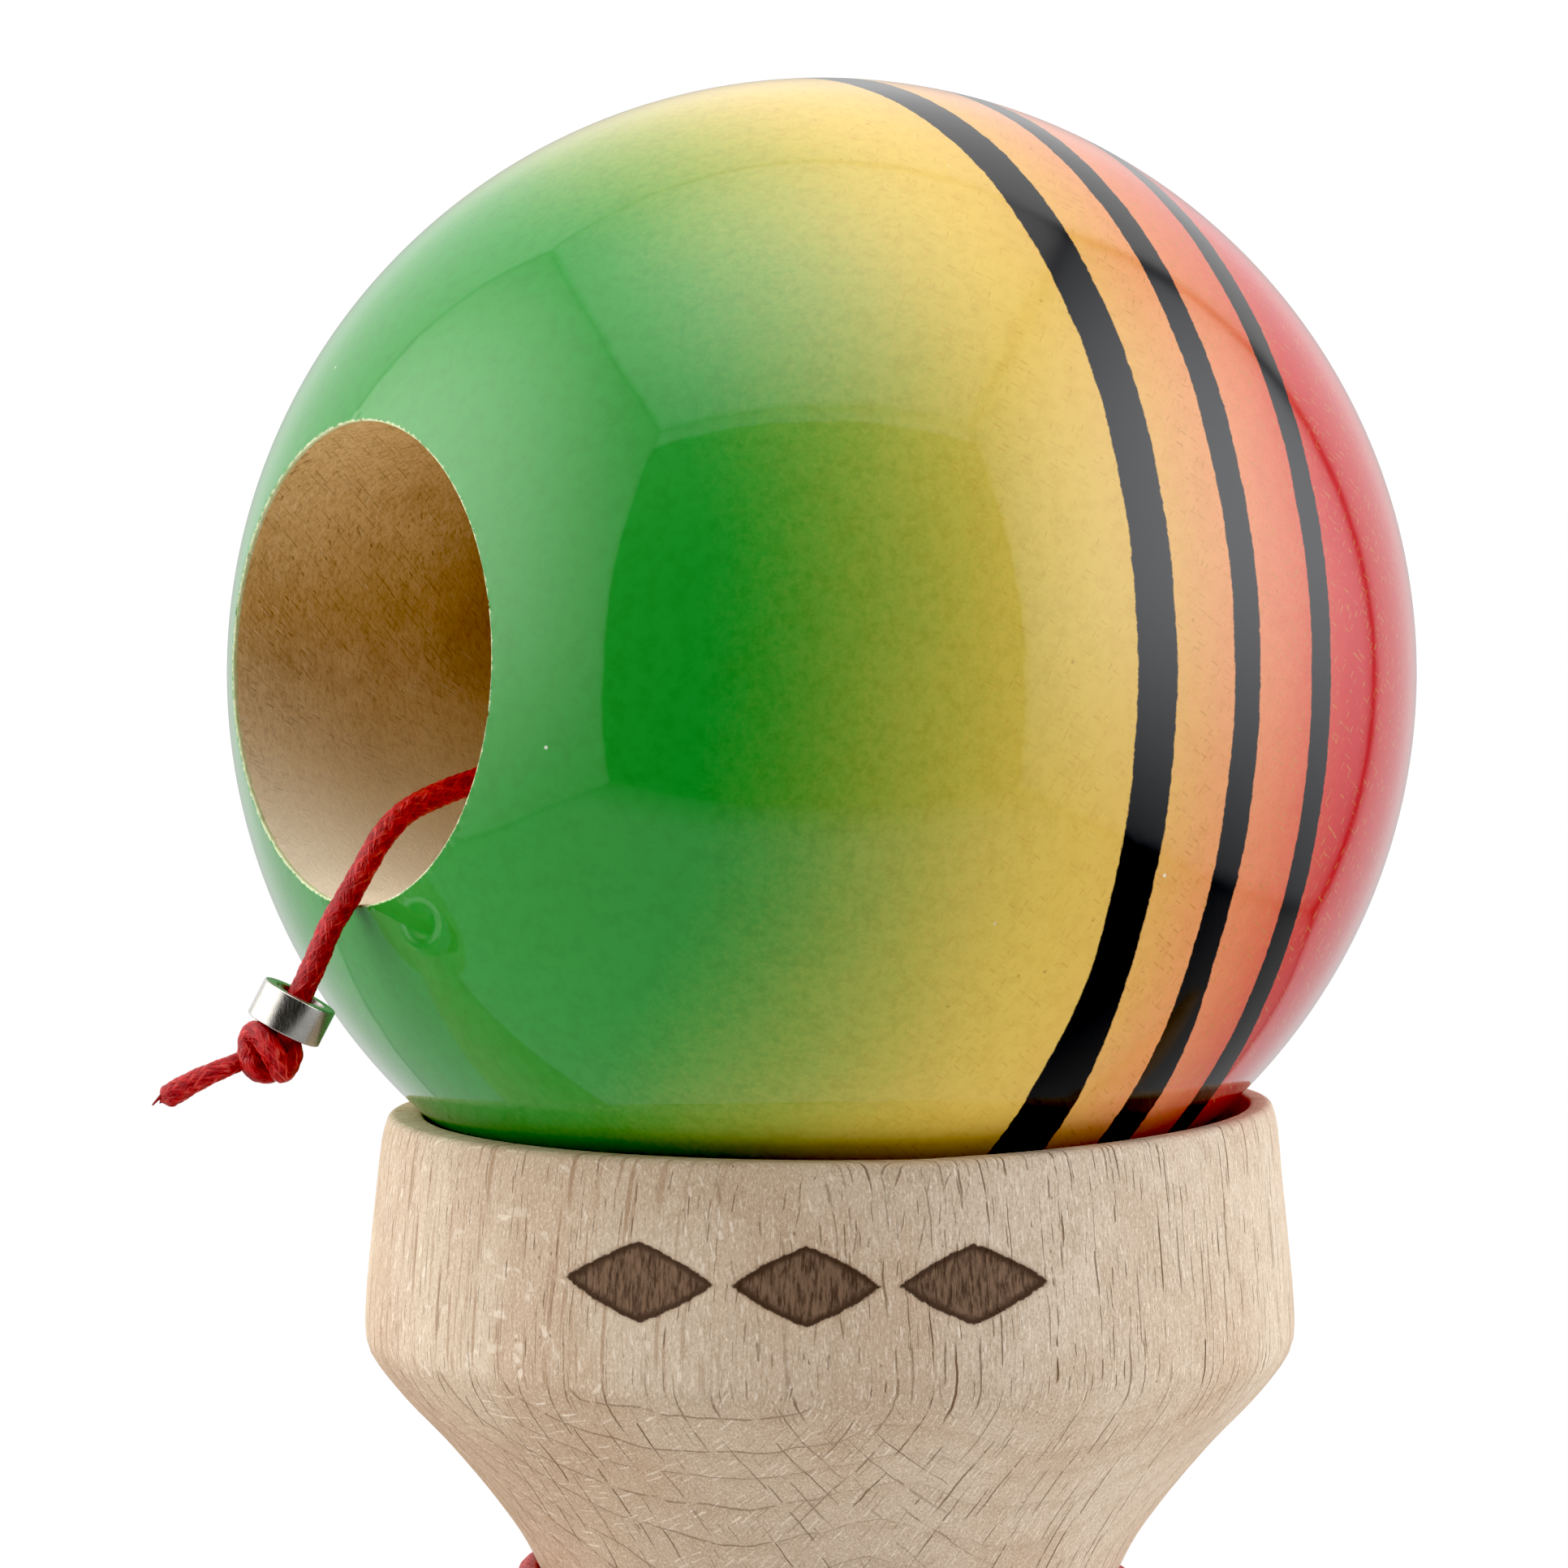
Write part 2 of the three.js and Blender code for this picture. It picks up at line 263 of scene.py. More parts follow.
def cutter(start, end, start_r, end_r, segments):
    """A round cutter between two points, in metres, with its two radii in mm."""
    axis = end - start
    turn = axis.to_track_quat("Z", "Y").to_matrix().to_4x4()
    place = Matrix.Translation(start) @ turn
    length = axis.length / MM
    profile = [(0, 0, 1, 0), (start_r, 0, segments, 0), (end_r, length, segments, 0), (0, length, 1, 0)]
    return revolve("cutter", profile, place, ())


# ---------------------------------------------------------------- node helper
class Graph:
    """A material's node tree, with one short method for each kind of node."""

    def __init__(self, name, tree=None):
        if tree is None:
            self.material = bpy.data.materials.new(name)
            self.material.use_nodes = True
            tree = self.material.node_tree
        self.tree = tree
        self.tree.nodes.clear()

    def put(self, socket, value):
        if isinstance(value, bpy.types.NodeSocket):
            self.tree.links.new(value, socket)
        elif isinstance(value, (tuple, list)) and len(value) == 3 and socket.type == "RGBA":
            socket.default_value = (*value, 1)
        else:
            socket.default_value = value

    def node(self, kind, sockets=None, **settings):
        made = self.tree.nodes.new(kind)
        for key, value in settings.items():
            setattr(made, key, value)
        for key, value in (sockets or {}).items():
            self.put(made.inputs[key], value)
        return made

    def math(self, operation, a, b=0.0, c=0.0, clamp=False):
        made = self.node("ShaderNodeMath", {0: a, 1: b, 2: c}, operation=operation, use_clamp=clamp)
        return made.outputs[0]

    def times(self, a, b):
        return self.math("MULTIPLY", a, b)

    def plus(self, a, b):
        return self.math("ADD", a, b)

    def minus(self, a, b):
        return self.math("SUBTRACT", a, b)

    def larger(self, a, b):
        return self.math("MAXIMUM", a, b)

    def smaller(self, a, b):
        return self.math("MINIMUM", a, b)

    def size(self, a):
        return self.math("ABSOLUTE", a)

    def vector(self, operation, a, b=(0, 0, 0)):
        made = self.node("ShaderNodeVectorMath", {0: a, 1: b}, operation=operation)
        return made.outputs["Value" if operation in ("DOT_PRODUCT", "LENGTH") else "Vector"]

    def scaled(self, vector, scale):
        return self.vector("MULTIPLY", vector, scale)

    def mix(self, factor, a, b, blend="MIX"):
        made = self.node("ShaderNodeMix", data_type="RGBA", blend_type=blend)
        self.put(made.inputs["Factor"], factor)
        self.put(made.inputs["A"], a)
        self.put(made.inputs["B"], b)
        return made.outputs["Result"]

    def between(self, value, low, high, out_low=0.0, out_high=1.0):
        """value mapped smoothly from low..high, clamped."""
        made = self.node("ShaderNodeMapRange", {
            "Value": value, "From Min": low, "From Max": high, "To Min": out_low, "To Max": out_high,
        }, interpolation_type="SMOOTHSTEP")
        return made.outputs["Result"]

    def noise(self, vector, scale=1.0, detail=2.0, roughness=0.5, distortion=0.0):
        made = self.node("ShaderNodeTexNoise", {
            "Vector": vector, "Scale": scale, "Detail": detail, "Roughness": roughness,
            "Distortion": distortion,
        })
        return made.outputs["Fac"]

    def wander(self, vector, scale, detail, roughness):
        """The same noise about zero."""
        return self.minus(self.noise(vector, scale, detail, roughness), 0.5)

    def specks(self, vector, scale, radii, channel, chances):
        """1 on scattered round specks, 0 off them. radii is a speck's soft edge, and chances
        are where a cell's random channel starts to hold one."""
        made = self.node("ShaderNodeTexVoronoi", {"Vector": vector, "Scale": scale, "Randomness": 1.0})
        wanted = self.between(self.parts(made.outputs["Color"])[channel], *chances)
        return self.times(self.between(made.outputs["Distance"], *radii, 1.0, 0.0), wanted)

    def strokes(self, across, along, deep, pitch, length, width, share):
        """1 on thin tapered strokes lying in planes of equal `across`, 0 off them; all in mm."""
        spot = self.point(self.math("DIVIDE", across, pitch), self.math("DIVIDE", along, length),
                          self.math("DIVIDE", deep, length))
        cell = self.node("ShaderNodeTexVoronoi", {"Vector": spot, "Scale": 1.0, "Randomness": 1.0})
        off = self.parts(self.vector("SUBTRACT", spot, cell.outputs["Position"]))
        chance = self.parts(cell.outputs["Color"])
        ends = self.between(self.size(off[1]), 0.22, 0.5, 1.0, 0.0)
        half = self.times(self.plus(chance[1], 0.5), width)
        half = self.times(half, self.plus(0.25, self.times(ends, 0.75)))
        near = self.times(self.size(off[0]), pitch)
        thin = self.between(self.math("DIVIDE", near, half), 0.55, 1.35, 1.0, 0.0)
        wanted = self.between(chance[0], 1 - share, 1 - share + 0.03)
        weight = self.plus(0.45, self.times(chance[2], 0.55))
        found = self.times(self.times(thin, ends), wanted)
        return self.times(found, weight)

    def point(self, x, y=0, z=0):
        return self.node("ShaderNodeCombineXYZ", {0: x, 1: y, 2: z}).outputs[0]

    def parts(self, vector):
        return self.node("ShaderNodeSeparateXYZ", {0: vector}).outputs

    def millimetres(self, centre=(0, 0, 0)):
        """The object's own coordinates in mm, from the given centre in metres."""
        place = self.node("ShaderNodeTexCoord").outputs["Object"]
        moved = self.vector("SUBTRACT", place, tuple(centre))
        return self.scaled(moved, (1000, 1000, 1000))

    def bump(self, height, distance, strength=1.0, normal=None):
        made = self.node("ShaderNodeBump", {
            "Height": height, "Distance": distance * MM, "Strength": strength})
        if normal is not None:
            self.put(made.inputs["Normal"], normal)
        return made.outputs["Normal"]

    def surface(self, **sockets):
        names = {key.replace("_", " "): value for key, value in sockets.items()}
        shader = self.node("ShaderNodeBsdfPrincipled", names)
        out = self.node("ShaderNodeOutputMaterial")
        self.tree.links.new(shader.outputs[0], out.inputs["Surface"])
        return self.material


# ---------------------------------------------------------------- materials
BEECH_LIGHT = (0.67, 0.56, 0.44)
BEECH_PINK = (0.58, 0.44, 0.325)
BEECH_PALE = (0.84, 0.73, 0.60)
BEECH_DUSK = (0.40, 0.27, 0.175)
BEECH_PORE = (0.17, 0.095, 0.05)
BEECH_STREAK = (0.34, 0.205, 0.12)
BEECH_LINT = (0.93, 0.84, 0.72)
SCORCHED = (0.33, 0.20, 0.115)
BURNT_DARK = (0.090, 0.062, 0.049)
BURNT_LIGHT = (0.235, 0.155, 0.108)


def wood_grain(g, place, along, shoulder):
    """Beech at a place in mm whose last part runs along the grain: (colour, relief). The
    grain is cut flat below the shoulder's height and upright above it."""
    x, y, z = g.parts(along)
    depth = g.times(g.size(y), -1.0)
    sway = g.wander(g.scaled(along, (0.4, 0.4, 0.3)), 1.0, 3, 0.55)
    sway = g.times(sway, 0.34)
    swayed = g.plus(g.times(x, 0.707), sway)
    half_depth = g.times(depth, 0.707)
    rise_right = g.plus(swayed, half_depth)
    rise_left = g.minus(swayed, half_depth)
    flat = g.between(z, shoulder - 0.2, shoulder + 0.5, 1.0, 0.0)
    # growth rings, bulging in two places
    ring_left = g.minus(g.times(x, -0.276), g.times(depth, 0.961))
    ring_right = g.minus(g.times(x, 0.545), g.times(depth, 0.839))
    drift = g.wander(g.scaled(along, (0.09, 0.09, 0.05)), 1.0, 3, 0.55)
    ring = g.plus(g.math("SMOOTH_MAX", ring_left, ring_right, 3.5), g.times(drift, 3.2))
    uneven = g.noise(g.point(ring), 0.55, 1)
    ring = g.plus(g.math("DIVIDE", ring, 1.5), g.times(uneven, 0.9))
    ring_place = g.math("FRACT", ring)
    late = g.between(ring_place, 0.15, 0.55)
    late = g.times(late, g.between(ring_place, 0.55, 0.62, 1.0, 0.0))
    # base colour: a pink tone at random, and painted shade in a band about x = -2 mm
    slow = g.noise(g.scaled(along, (0.10, 0.10, 0.05)), 1.0, 3, 0.55)
    # painted shade: darker and pinker in a band about x = -2 mm, fading out 15 mm away
    middle = g.between(g.size(g.plus(x, 2.0)), 3.0, 15.0, 0.30, 0.0)
    pink_tone_and_painted_shade = g.plus(g.between(slow, 0.38, 0.64, 0.0, 0.95), middle)
    colour = g.mix(pink_tone_and_painted_shade, BEECH_LIGHT, BEECH_PINK)
    colour = g.mix(g.times(late, 0.19), colour, BEECH_DUSK)
    # painted shade: below the shoulder, where the grain is cut flat, the wood is darkened towards
    # negative x (the left of the big cup)
    colour = g.mix(g.times(flat, g.between(x, 8.0, -12.0, 0.06, 0.34)), colour, BEECH_DUSK)
    # fibres
    fibre = g.noise(g.scaled(along, (5.5, 5.5, 0.55)), 1.0, 4, 0.65)
    fuzz = g.noise(g.scaled(along, (9.0, 9.0, 3.4)), 1.0, 4, 0.7)
    colour = g.mix(g.between(fibre, 0.46, 0.70, 0.0, 0.36), colour, BEECH_DUSK)
    colour = g.mix(g.between(fuzz, 0.52, 0.66, 0.0, 0.56), colour, BEECH_PALE)
    colour = g.mix(g.between(fuzz, 0.47, 0.32, 0.0, 0.46), colour, BEECH_DUSK)
    sharp = g.noise(g.scaled(along, (12.0, 12.0, 6.5)), 1.0, 3, 0.7)
    colour = g.mix(g.between(sharp, 0.54, 0.68, 0.0, 0.50), colour, BEECH_PALE)
    colour = g.mix(g.between(sharp, 0.46, 0.32, 0.0, 0.50), colour, BEECH_DUSK)
    lint = g.strokes(rise_right, z, rise_left, 0.30, 0.75, 0.034, 0.34)
    colour = g.mix(g.times(lint, 0.5), colour, BEECH_LINT)
    # blurred streaks on the left, crisp pores on the right, both where the grain is cut flat
    broken = g.between(g.noise(g.scaled(along, (0.8, 0.8, 0.8)), 1.0, 3, 0.6), 0.34, 0.48)
    on_left = g.between(x, -1.0, -10.0)
    upright = g.minus(1.0, flat)
    keep_right = g.between(x, -9.0, -1.0)
    keep_left = g.between(x, 10.0, 2.0)
    blurred = g.strokes(rise_left, z, rise_right, 0.80, 5.5, 0.10, 0.74)
    blurred = g.times(blurred, g.times(on_left, upright))
    colour = g.mix(g.times(blurred, 0.62), colour, BEECH_STREAK)
    crisp = g.strokes(rise_right, z, rise_left, 0.88, 5.2, 0.034, 0.72)
    crisp = g.times(crisp, g.between(x, -7.0, 4.0, 0.0, 1.0))
    second = g.strokes(rise_left, z, rise_right, 1.05, 5.6, 0.032, 0.62)
    second_on = g.larger(flat, g.times(on_left, 0.55))
    second = g.times(second, g.times(second_on, keep_left))
    crisp = g.times(g.larger(crisp, second), broken)
    short = g.times(g.strokes(rise_right, z, rise_left, 0.46, 1.5, 0.026, 0.30), keep_right)
    other = g.times(g.strokes(rise_left, z, rise_right, 0.50, 1.3, 0.024, 0.30), keep_left)
    short = g.times(g.larger(short, other), g.between(flat, 0.0, 1.0, 0.75, 0.32))
    arc_line = g.between(g.size(g.minus(ring_place, 0.60)), 0.010, 0.028, 1.0, 0.0)
    arc_line = g.times(arc_line, g.times(flat, broken))
    arc_line = g.times(arc_line, g.between(x, -5.0, 6.0, 0.50, 0.16))
    dark = g.larger(g.larger(crisp, short), arc_line)
    colour = g.mix(g.times(dark, 0.9), colour, BEECH_PORE)
    speck = g.specks(g.scaled(along, (1.7, 1.7, 1.1)), 1.0, (0.07, 0.13), 0, (0.8, 0.84))
    colour = g.mix(g.times(speck, 0.55), colour, BEECH_PORE)
    grit = g.noise(place, 6.0, 3, 0.7)
    relief = g.minus(g.times(fibre, 0.4), g.times(dark, 0.8))
    relief = g.plus(relief, g.times(grit, 0.4))
    relief = g.plus(relief, g.times(fuzz, 0.35))
    return colour, relief


def beech(name, grain_axis, marks=False):
    g = Graph(name)
    place = g.millimetres((CUP_X, 0, 0) if grain_axis == "Z" else (CUP_X, 0, KEN_Z))
    x, y, z = g.parts(place)
    if grain_axis == "Z":
        along = place
        shoulder = 60.4
    else:
        along = g.point(z, y, x)
        shoulder = -92.0
    colour, relief = wood_grain(g, place, along, shoulder)
    if marks:
        depth, edge = lozenge_nodes(g, x, y, z)
        streak = g.noise(g.scaled(place, (5.5, 5.5, 0.8)), 1.0, 4, 0.7)
        inner = g.mix(g.between(streak, 0.38, 0.66), BURNT_LIGHT, BURNT_DARK)
        burnt = g.mix(edge, inner, BURNT_DARK)
        scorch = g.between(depth, -0.14, 0.0, 0.0, 0.30)
        colour = g.mix(scorch, colour, SCORCHED)
        colour = g.mix(g.between(depth, -0.02, 0.04), colour, burnt)
    return g.surface(
        Base_Color=colour, Roughness=0.8, Specular_IOR_Level=0.12,
        Normal=g.bump(relief, 0.12, 0.85))


MARK_PITCH = 8.05
MARK_HALF_LONG = 3.6
MARK_HALF_HIGH = 1.95
MARK_DROP = 6.1
MARK_SHIFT = -1.25
MARK_DEPTH = 0.14
# the marks are on the cup's outside only, which lies beyond this radius
MARK_LEAST_R = 22


def lozenge_nodes(g, x, y, z):
    """(how far inside a burnt lozenge, 1 near its edge) for a place in mm on the big cup."""
    jag = g.wander(g.point(x, 0, z), 2.2, 3, 0.7)
    across = g.minus(x, MARK_SHIFT)
    row = g.math("PINGPONG", g.plus(across, MARK_PITCH / 2), MARK_PITCH)
    along_row = g.size(g.minus(row, MARK_PITCH / 2))
    up = g.size(g.minus(z, RIM_Z / MM - MARK_DROP))
    share = g.plus(g.math("POWER", g.math("DIVIDE", along_row, MARK_HALF_LONG), 1.15),
                   g.math("POWER", g.math("DIVIDE", up, MARK_HALF_HIGH), 1.15))
    inside = g.minus(1.0, share)
    inside = g.plus(inside, g.times(jag, 0.20))
    in_row = g.math("LESS_THAN", g.size(across), MARK_PITCH * 1.5)
    off_axis = g.vector("LENGTH", g.point(x, y))
    outside = g.math("GREATER_THAN", off_axis, MARK_LEAST_R)
    front = g.times(g.math("LESS_THAN", y, 0.0), outside)
    on = g.times(in_row, front)
    depth = g.minus(g.times(g.plus(inside, 1.0), on), 1.0)
    edge = g.between(inside, 0.08, 0.30, 1.0, 0.0)
    return depth, edge


def lozenge_depth(x, y, z):
    """The same lozenges as a recess in mm, for the cup's mesh."""
    across = x - MARK_SHIFT
    if y > 0 or abs(across) > MARK_PITCH * 1.5:
        return 0.0
    along_row = abs((across + MARK_PITCH / 2) % MARK_PITCH - MARK_PITCH / 2)
    up = abs(z - (RIM_Z / MM - MARK_DROP))
    share = (along_row / MARK_HALF_LONG) ** 1.15 + (up / MARK_HALF_HIGH) ** 1.15
    return MARK_DEPTH * min(1.0, max(0.0, (1 - share) / 0.18))


# the airbrushed colours, and where each blends into the next: mm from the ball's centre
# towards the big hole
PAINT_RED = (0.50, 0.015, 0.02)
PAINT_ORANGE = (0.67, 0.24, 0.11)
PAINT_YELLOW = (0.69, 0.49, 0.108)
PAINT_GREEN = (0.045, 0.30, 0.053)
RED_TO_ORANGE = (-13, -3)
ORANGE_TO_YELLOW = (-6, 6)
YELLOW_TO_GREEN = (5, 21.5)
# each ring's two edges, and how far each edge spreads low on the ball
RINGS = ((0.58, 2.84, 0.38, 0.38), (-4.74, -3.02, 0.65, -0.10), (-10.26, -8.62, 0.15, 0.10))
RING_BLACK = (0.009, 0.009, 0.010)


def lacquer():
    g = Graph("tama_lacquer")
    place = g.millimetres(BALL)
    t = g.vector("DOT_PRODUCT", place, tuple(HOLE_AXIS))
    painted = g.vector("DOT_PRODUCT", place, tuple(PAINT_AXIS))
    # airbrushed colour: slow drift, then a fine spatter
    drift = g.wander(place, 0.09, 3, 0.5)
    spatter = g.wander(place, 2.6, 3, 0.75)
    grains = g.wander(place, 7.0, 2, 0.6)
    sprayed = g.plus(painted, g.times(drift, 2.6))
    sprayed = g.plus(sprayed, g.times(spatter, 3.0))
    sprayed = g.plus(sprayed, g.times(grains, 1.6))
    colour = g.mix(g.between(sprayed, *RED_TO_ORANGE), PAINT_RED, PAINT_ORANGE)
    colour = g.mix(g.between(sprayed, *ORANGE_TO_YELLOW), colour, PAINT_YELLOW)
    colour = g.mix(g.between(sprayed, *YELLOW_TO_GREEN), colour, PAINT_GREEN)
    # wood showing faintly under the thin paint, and specks in it
    under = g.noise(place, 1.3, 4, 0.7)
    colour = g.mix(g.between(under, 0.40, 0.70, 0.0, 0.16), colour, (0.62, 0.42, 0.22), "MULTIPLY")
    thin = g.between(painted, 15.0, 8.0)
    speck = g.specks(place, 0.85, (0.05, 0.11), 0, (0.80, 0.84))
    colour = g.mix(g.times(g.times(speck, thin), 0.42), colour, (0.30, 0.15, 0.04))
    across = g.vector("DOT_PRODUCT", place, (0.45, 0.30, 0.84))
    beside = g.vector("DOT_PRODUCT", place, (0.82, 0.25, -0.51))
    behind = g.vector("DOT_PRODUCT", place, (0.36, -0.92, 0.14))
    hairs = g.strokes(across, beside, behind, 0.34, 0.62, 0.030, 0.26)
    hairs = g.larger(hairs, g.strokes(beside, across, behind, 0.36, 0.55, 0.028, 0.22))
    warm = g.plus(0.35, g.between(painted, 1.0, -1.5, 0.0, 0.45))
    hairs = g.times(g.times(hairs, thin), warm)
    colour = g.mix(hairs, colour, (0.46, 0.21, 0.05))
    dots = g.noise(place, 5.0, 3, 0.8)
    dots = g.times(g.between(dots, 0.55, 0.68), g.times(warm, thin))
    colour = g.mix(g.times(dots, 0.5), colour, (0.80, 0.56, 0.38), "MULTIPLY")
    dust = g.specks(place, 0.34, (0.024, 0.045), 1, (0.86, 0.88))
    colour = g.mix(g.times(dust, 0.8), colour, (0.75, 0.74, 0.66))
    # hand painted rings
    wave = g.wander(place, 0.16, 2, 0.5)
    rag = g.wander(place, 1.5, 4, 0.7)
    wobbly = g.plus(painted, g.times(wave, 0.34))
    wobbly = g.plus(wobbly, g.times(rag, 0.27))
    low_down = g.between(g.parts(place)[2], -12.0, -20.5)
    ring = 0.0
    for low, high, spread_low, spread_high in RINGS:
        from_low = g.plus(wobbly, g.times(low_down, spread_low))
        from_high = g.minus(wobbly, g.times(low_down, spread_high))
        band = g.times(g.between(from_low, low - 0.05, low + 0.05),
                      g.between(from_high, high - 0.05, high + 0.05, 1.0, 0.0))
        ring = g.larger(ring, band)
    colour = g.mix(ring, colour, RING_BLACK)
    # bare, chipped edge round the big hole
    on_axis = g.point(*[g.times(t, part) for part in HOLE_AXIS])
    off_axis = g.vector("LENGTH", g.vector("SUBTRACT", place, on_axis))
    chips = g.wander(place, 2.4, 4, 0.75)
    chips = g.plus(g.times(chips, 0.46), g.between(chips, 0.12, 0.28, 0.0, -0.34))
    chip = g.plus(off_axis, chips)
    bare = g.between(chip, BORE_R + 0.06, BORE_R + 0.14, 1.0, 0.0)
    bare = g.times(bare, g.between(t, 20.0, 21.0))
    stained = g.between(g.noise(place, 3.0, 3, 0.6), 0.4, 0.65)
    lip_tint = g.mix(stained, (0.56, 0.66, 0.36), (0.72, 0.74, 0.50))
    colour = g.mix(bare, colour, lip_tint)
    roughness = g.plus(g.plus(0.04, g.times(ring, 0.07)), g.times(bare, 0.5))
    relief = g.plus(g.times(g.noise(place, 0.45, 2), 1.0), g.times(dust, 0.12))
    return g.surface(Base_Color=colour, Roughness=roughness, IOR=1.5,
                     Normal=g.bump(relief, 0.012, 0.6))


def bore_wood():
    g = Graph("tama_bore")
    place = g.millimetres(BALL)
    t = g.vector("DOT_PRODUCT", place, tuple(HOLE_AXIS))
    slow = g.noise(place, 0.16, 3, 0.5)
    colour = g.mix(g.between(slow, 0.36, 0.64), (0.92, 0.75, 0.50), (0.83, 0.65, 0.41))
    fibre = g.noise(g.scaled(place, (2.2, 2.2, 0.9)), 1.6, 5, 0.75)
    colour = g.mix(g.between(fibre, 0.40, 0.72, 0.0, 0.38), colour, (0.62, 0.44, 0.30), "MULTIPLY")
    x, y, z = g.parts(place)
    leaning = g.plus(g.times(y, 0.8), g.times(z, 0.6))
    upright = g.minus(g.times(z, 0.8), g.times(y, 0.6))
    mottle = g.noise(g.scaled(place, (4.0, 4.0, 2.2)), 1.0, 4, 0.75)
    colour = g.mix(g.between(mottle, 0.50, 0.34, 0.0, 0.42), colour, (0.42, 0.25, 0.12))
    colour = g.mix(g.between(mottle, 0.54, 0.70, 0.0, 0.45), colour, (0.98, 0.86, 0.66))
    threads = g.strokes(leaning, upright, x, 0.33, 0.9, 0.028, 0.4)
    colour = g.mix(g.times(threads, 0.55), colour, (0.99, 0.90, 0.74))
    pore = g.strokes(leaning, upright, y, 0.24, 0.44, 0.018, 0.36)
    patchy = g.between(g.noise(place, 0.5, 3, 0.6), 0.40, 0.62)
    pore = g.times(pore, patchy)
    colour = g.mix(g.times(pore, 0.62), colour, (0.22, 0.115, 0.05))
    steep = g.plus(g.times(x, 0.82), g.times(z, 0.57))
    shallow = g.minus(g.times(z, 0.82), g.times(x, 0.57))
    lines = g.strokes(steep, shallow, y, 0.26, 1.5, 0.030, 0.42)
    lines = g.times(lines, g.between(z, -3.0, 2.0, 0.15, 0.5))
    colour = g.mix(lines, colour, (0.36, 0.20, 0.09))
    blotch = g.noise(place, 0.35, 4, 0.65)
    colour = g.mix(g.between(blotch, 0.50, 0.66, 0.0, 0.22), colour, (0.52, 0.33, 0.17))
    # painted shade towards the top of the bore and painted light across its bottom
    colour = g.mix(g.between(z, -1.0, 4.0, 0.0, 0.75), colour, (0.90, 0.76, 0.50), "MULTIPLY")
    colour = g.mix(g.between(z, 0.0, -8.5, 0.0, 0.88), colour, (1.0, 0.93, 0.74))
    # painted shade deeper in the bore, broken up by the blotches and held back low down where light
    # falls in
    deep = g.plus(t, g.times(g.minus(blotch, 0.5), 7.0))
    deep = g.plus(deep, g.between(z, 0.0, -5.0, 0.0, 12.0))
    colour = g.mix(g.between(deep, 18.5, 11.0, 0.0, 0.66), colour, (0.46, 0.28, 0.13))
    dust = g.specks(place, 0.42, (0.03, 0.05), 1, (0.8, 0.82))
    dust = g.times(dust, g.between(t, 20.0, 26.0))
    colour = g.mix(dust, colour, (1.0, 0.97, 0.9))
    turning = g.math("FRACT", g.plus(g.times(t, 1.9), g.times(slow, 1.5)))
    relief = g.plus(fibre, g.times(turning, 0.12))
    relief = g.minus(relief, g.times(pore, 0.5))
    return g.surface(Base_Color=colour, Roughness=0.85, Specular_IOR_Level=0.2,
                     Normal=g.bump(relief, 0.12, 0.8))


def waxed_cord():
    g = Graph("waxed_cord")
    place = g.millimetres(BALL)
    strand = g.node("ShaderNodeAttribute", attribute_name="strand").outputs["Fac"]
    one = g.node("ShaderNodeAttribute", attribute_name="weave_right").outputs["Vector"]
    two = g.node("ShaderNodeAttribute", attribute_name="weave_left").outputs["Vector"]
    fibres = g.larger(g.noise(one, 6.5, 3, 0.6), g.noise(two, 6.5, 3, 0.6))
    patchy = g.noise(place, 1.1, 3, 0.6)
    colour = g.mix(g.between(patchy, 0.35, 0.65), (0.66, 0.022, 0.024), (0.54, 0.014, 0.018))
    # painted shade in the grooves between fibres and between strands
    colour = g.mix(g.between(fibres, 0.49, 0.57, 0.65, 0.0), colour, (0.22, 0.004, 0.008))
    colour = g.mix(g.between(strand, 0.05, 0.40, 0.5, 0.0), colour, (0.18, 0.003, 0.006))
    # painted highlight: the fibres' crowns are lightened towards a pale orange-red
    painted_crown_highlight = g.between(fibres, 0.58, 0.70, 0.0, 0.46)
    colour = g.mix(painted_crown_highlight, colour, (0.88, 0.18, 0.13))
    fine = g.noise(place, 12.0, 3, 0.7)
    relief = g.plus(fibres, g.times(fine, 0.18))
    return g.surface(Base_Color=colour, Roughness=0.36, Specular_IOR_Level=0.5,
                     Normal=g.bump(relief, 0.22, 1.0))


def steel():
    g = Graph("bead_steel")
    place = g.millimetres(BALL)
    cloudy = g.noise(place, 1.2, 3, 0.6)
    scratches = g.noise(g.scaled(place, (9, 9, 1.2)), 2.0, 3, 0.6)
    colour = g.mix(g.between(cloudy, 0.35, 0.65), (0.57, 0.555, 0.52), (0.49, 0.475, 0.44))
    roughness = g.between(scratches, 0.3, 0.7, 0.19, 0.32)
    return g.surface(Base_Color=colour, Metallic=0.86, Roughness=roughness,
                     Normal=g.bump(scratches, 0.006, 0.6))


def floor_white():
    g = Graph("floor_white")
    place = g.millimetres()
    tone = g.mix(g.noise(place, 0.02, 2), (0.62, 0.62, 0.62), (0.64, 0.64, 0.64))
    return g.surface(Base_Color=tone, Roughness=0.9, Specular_IOR_Level=0.0)


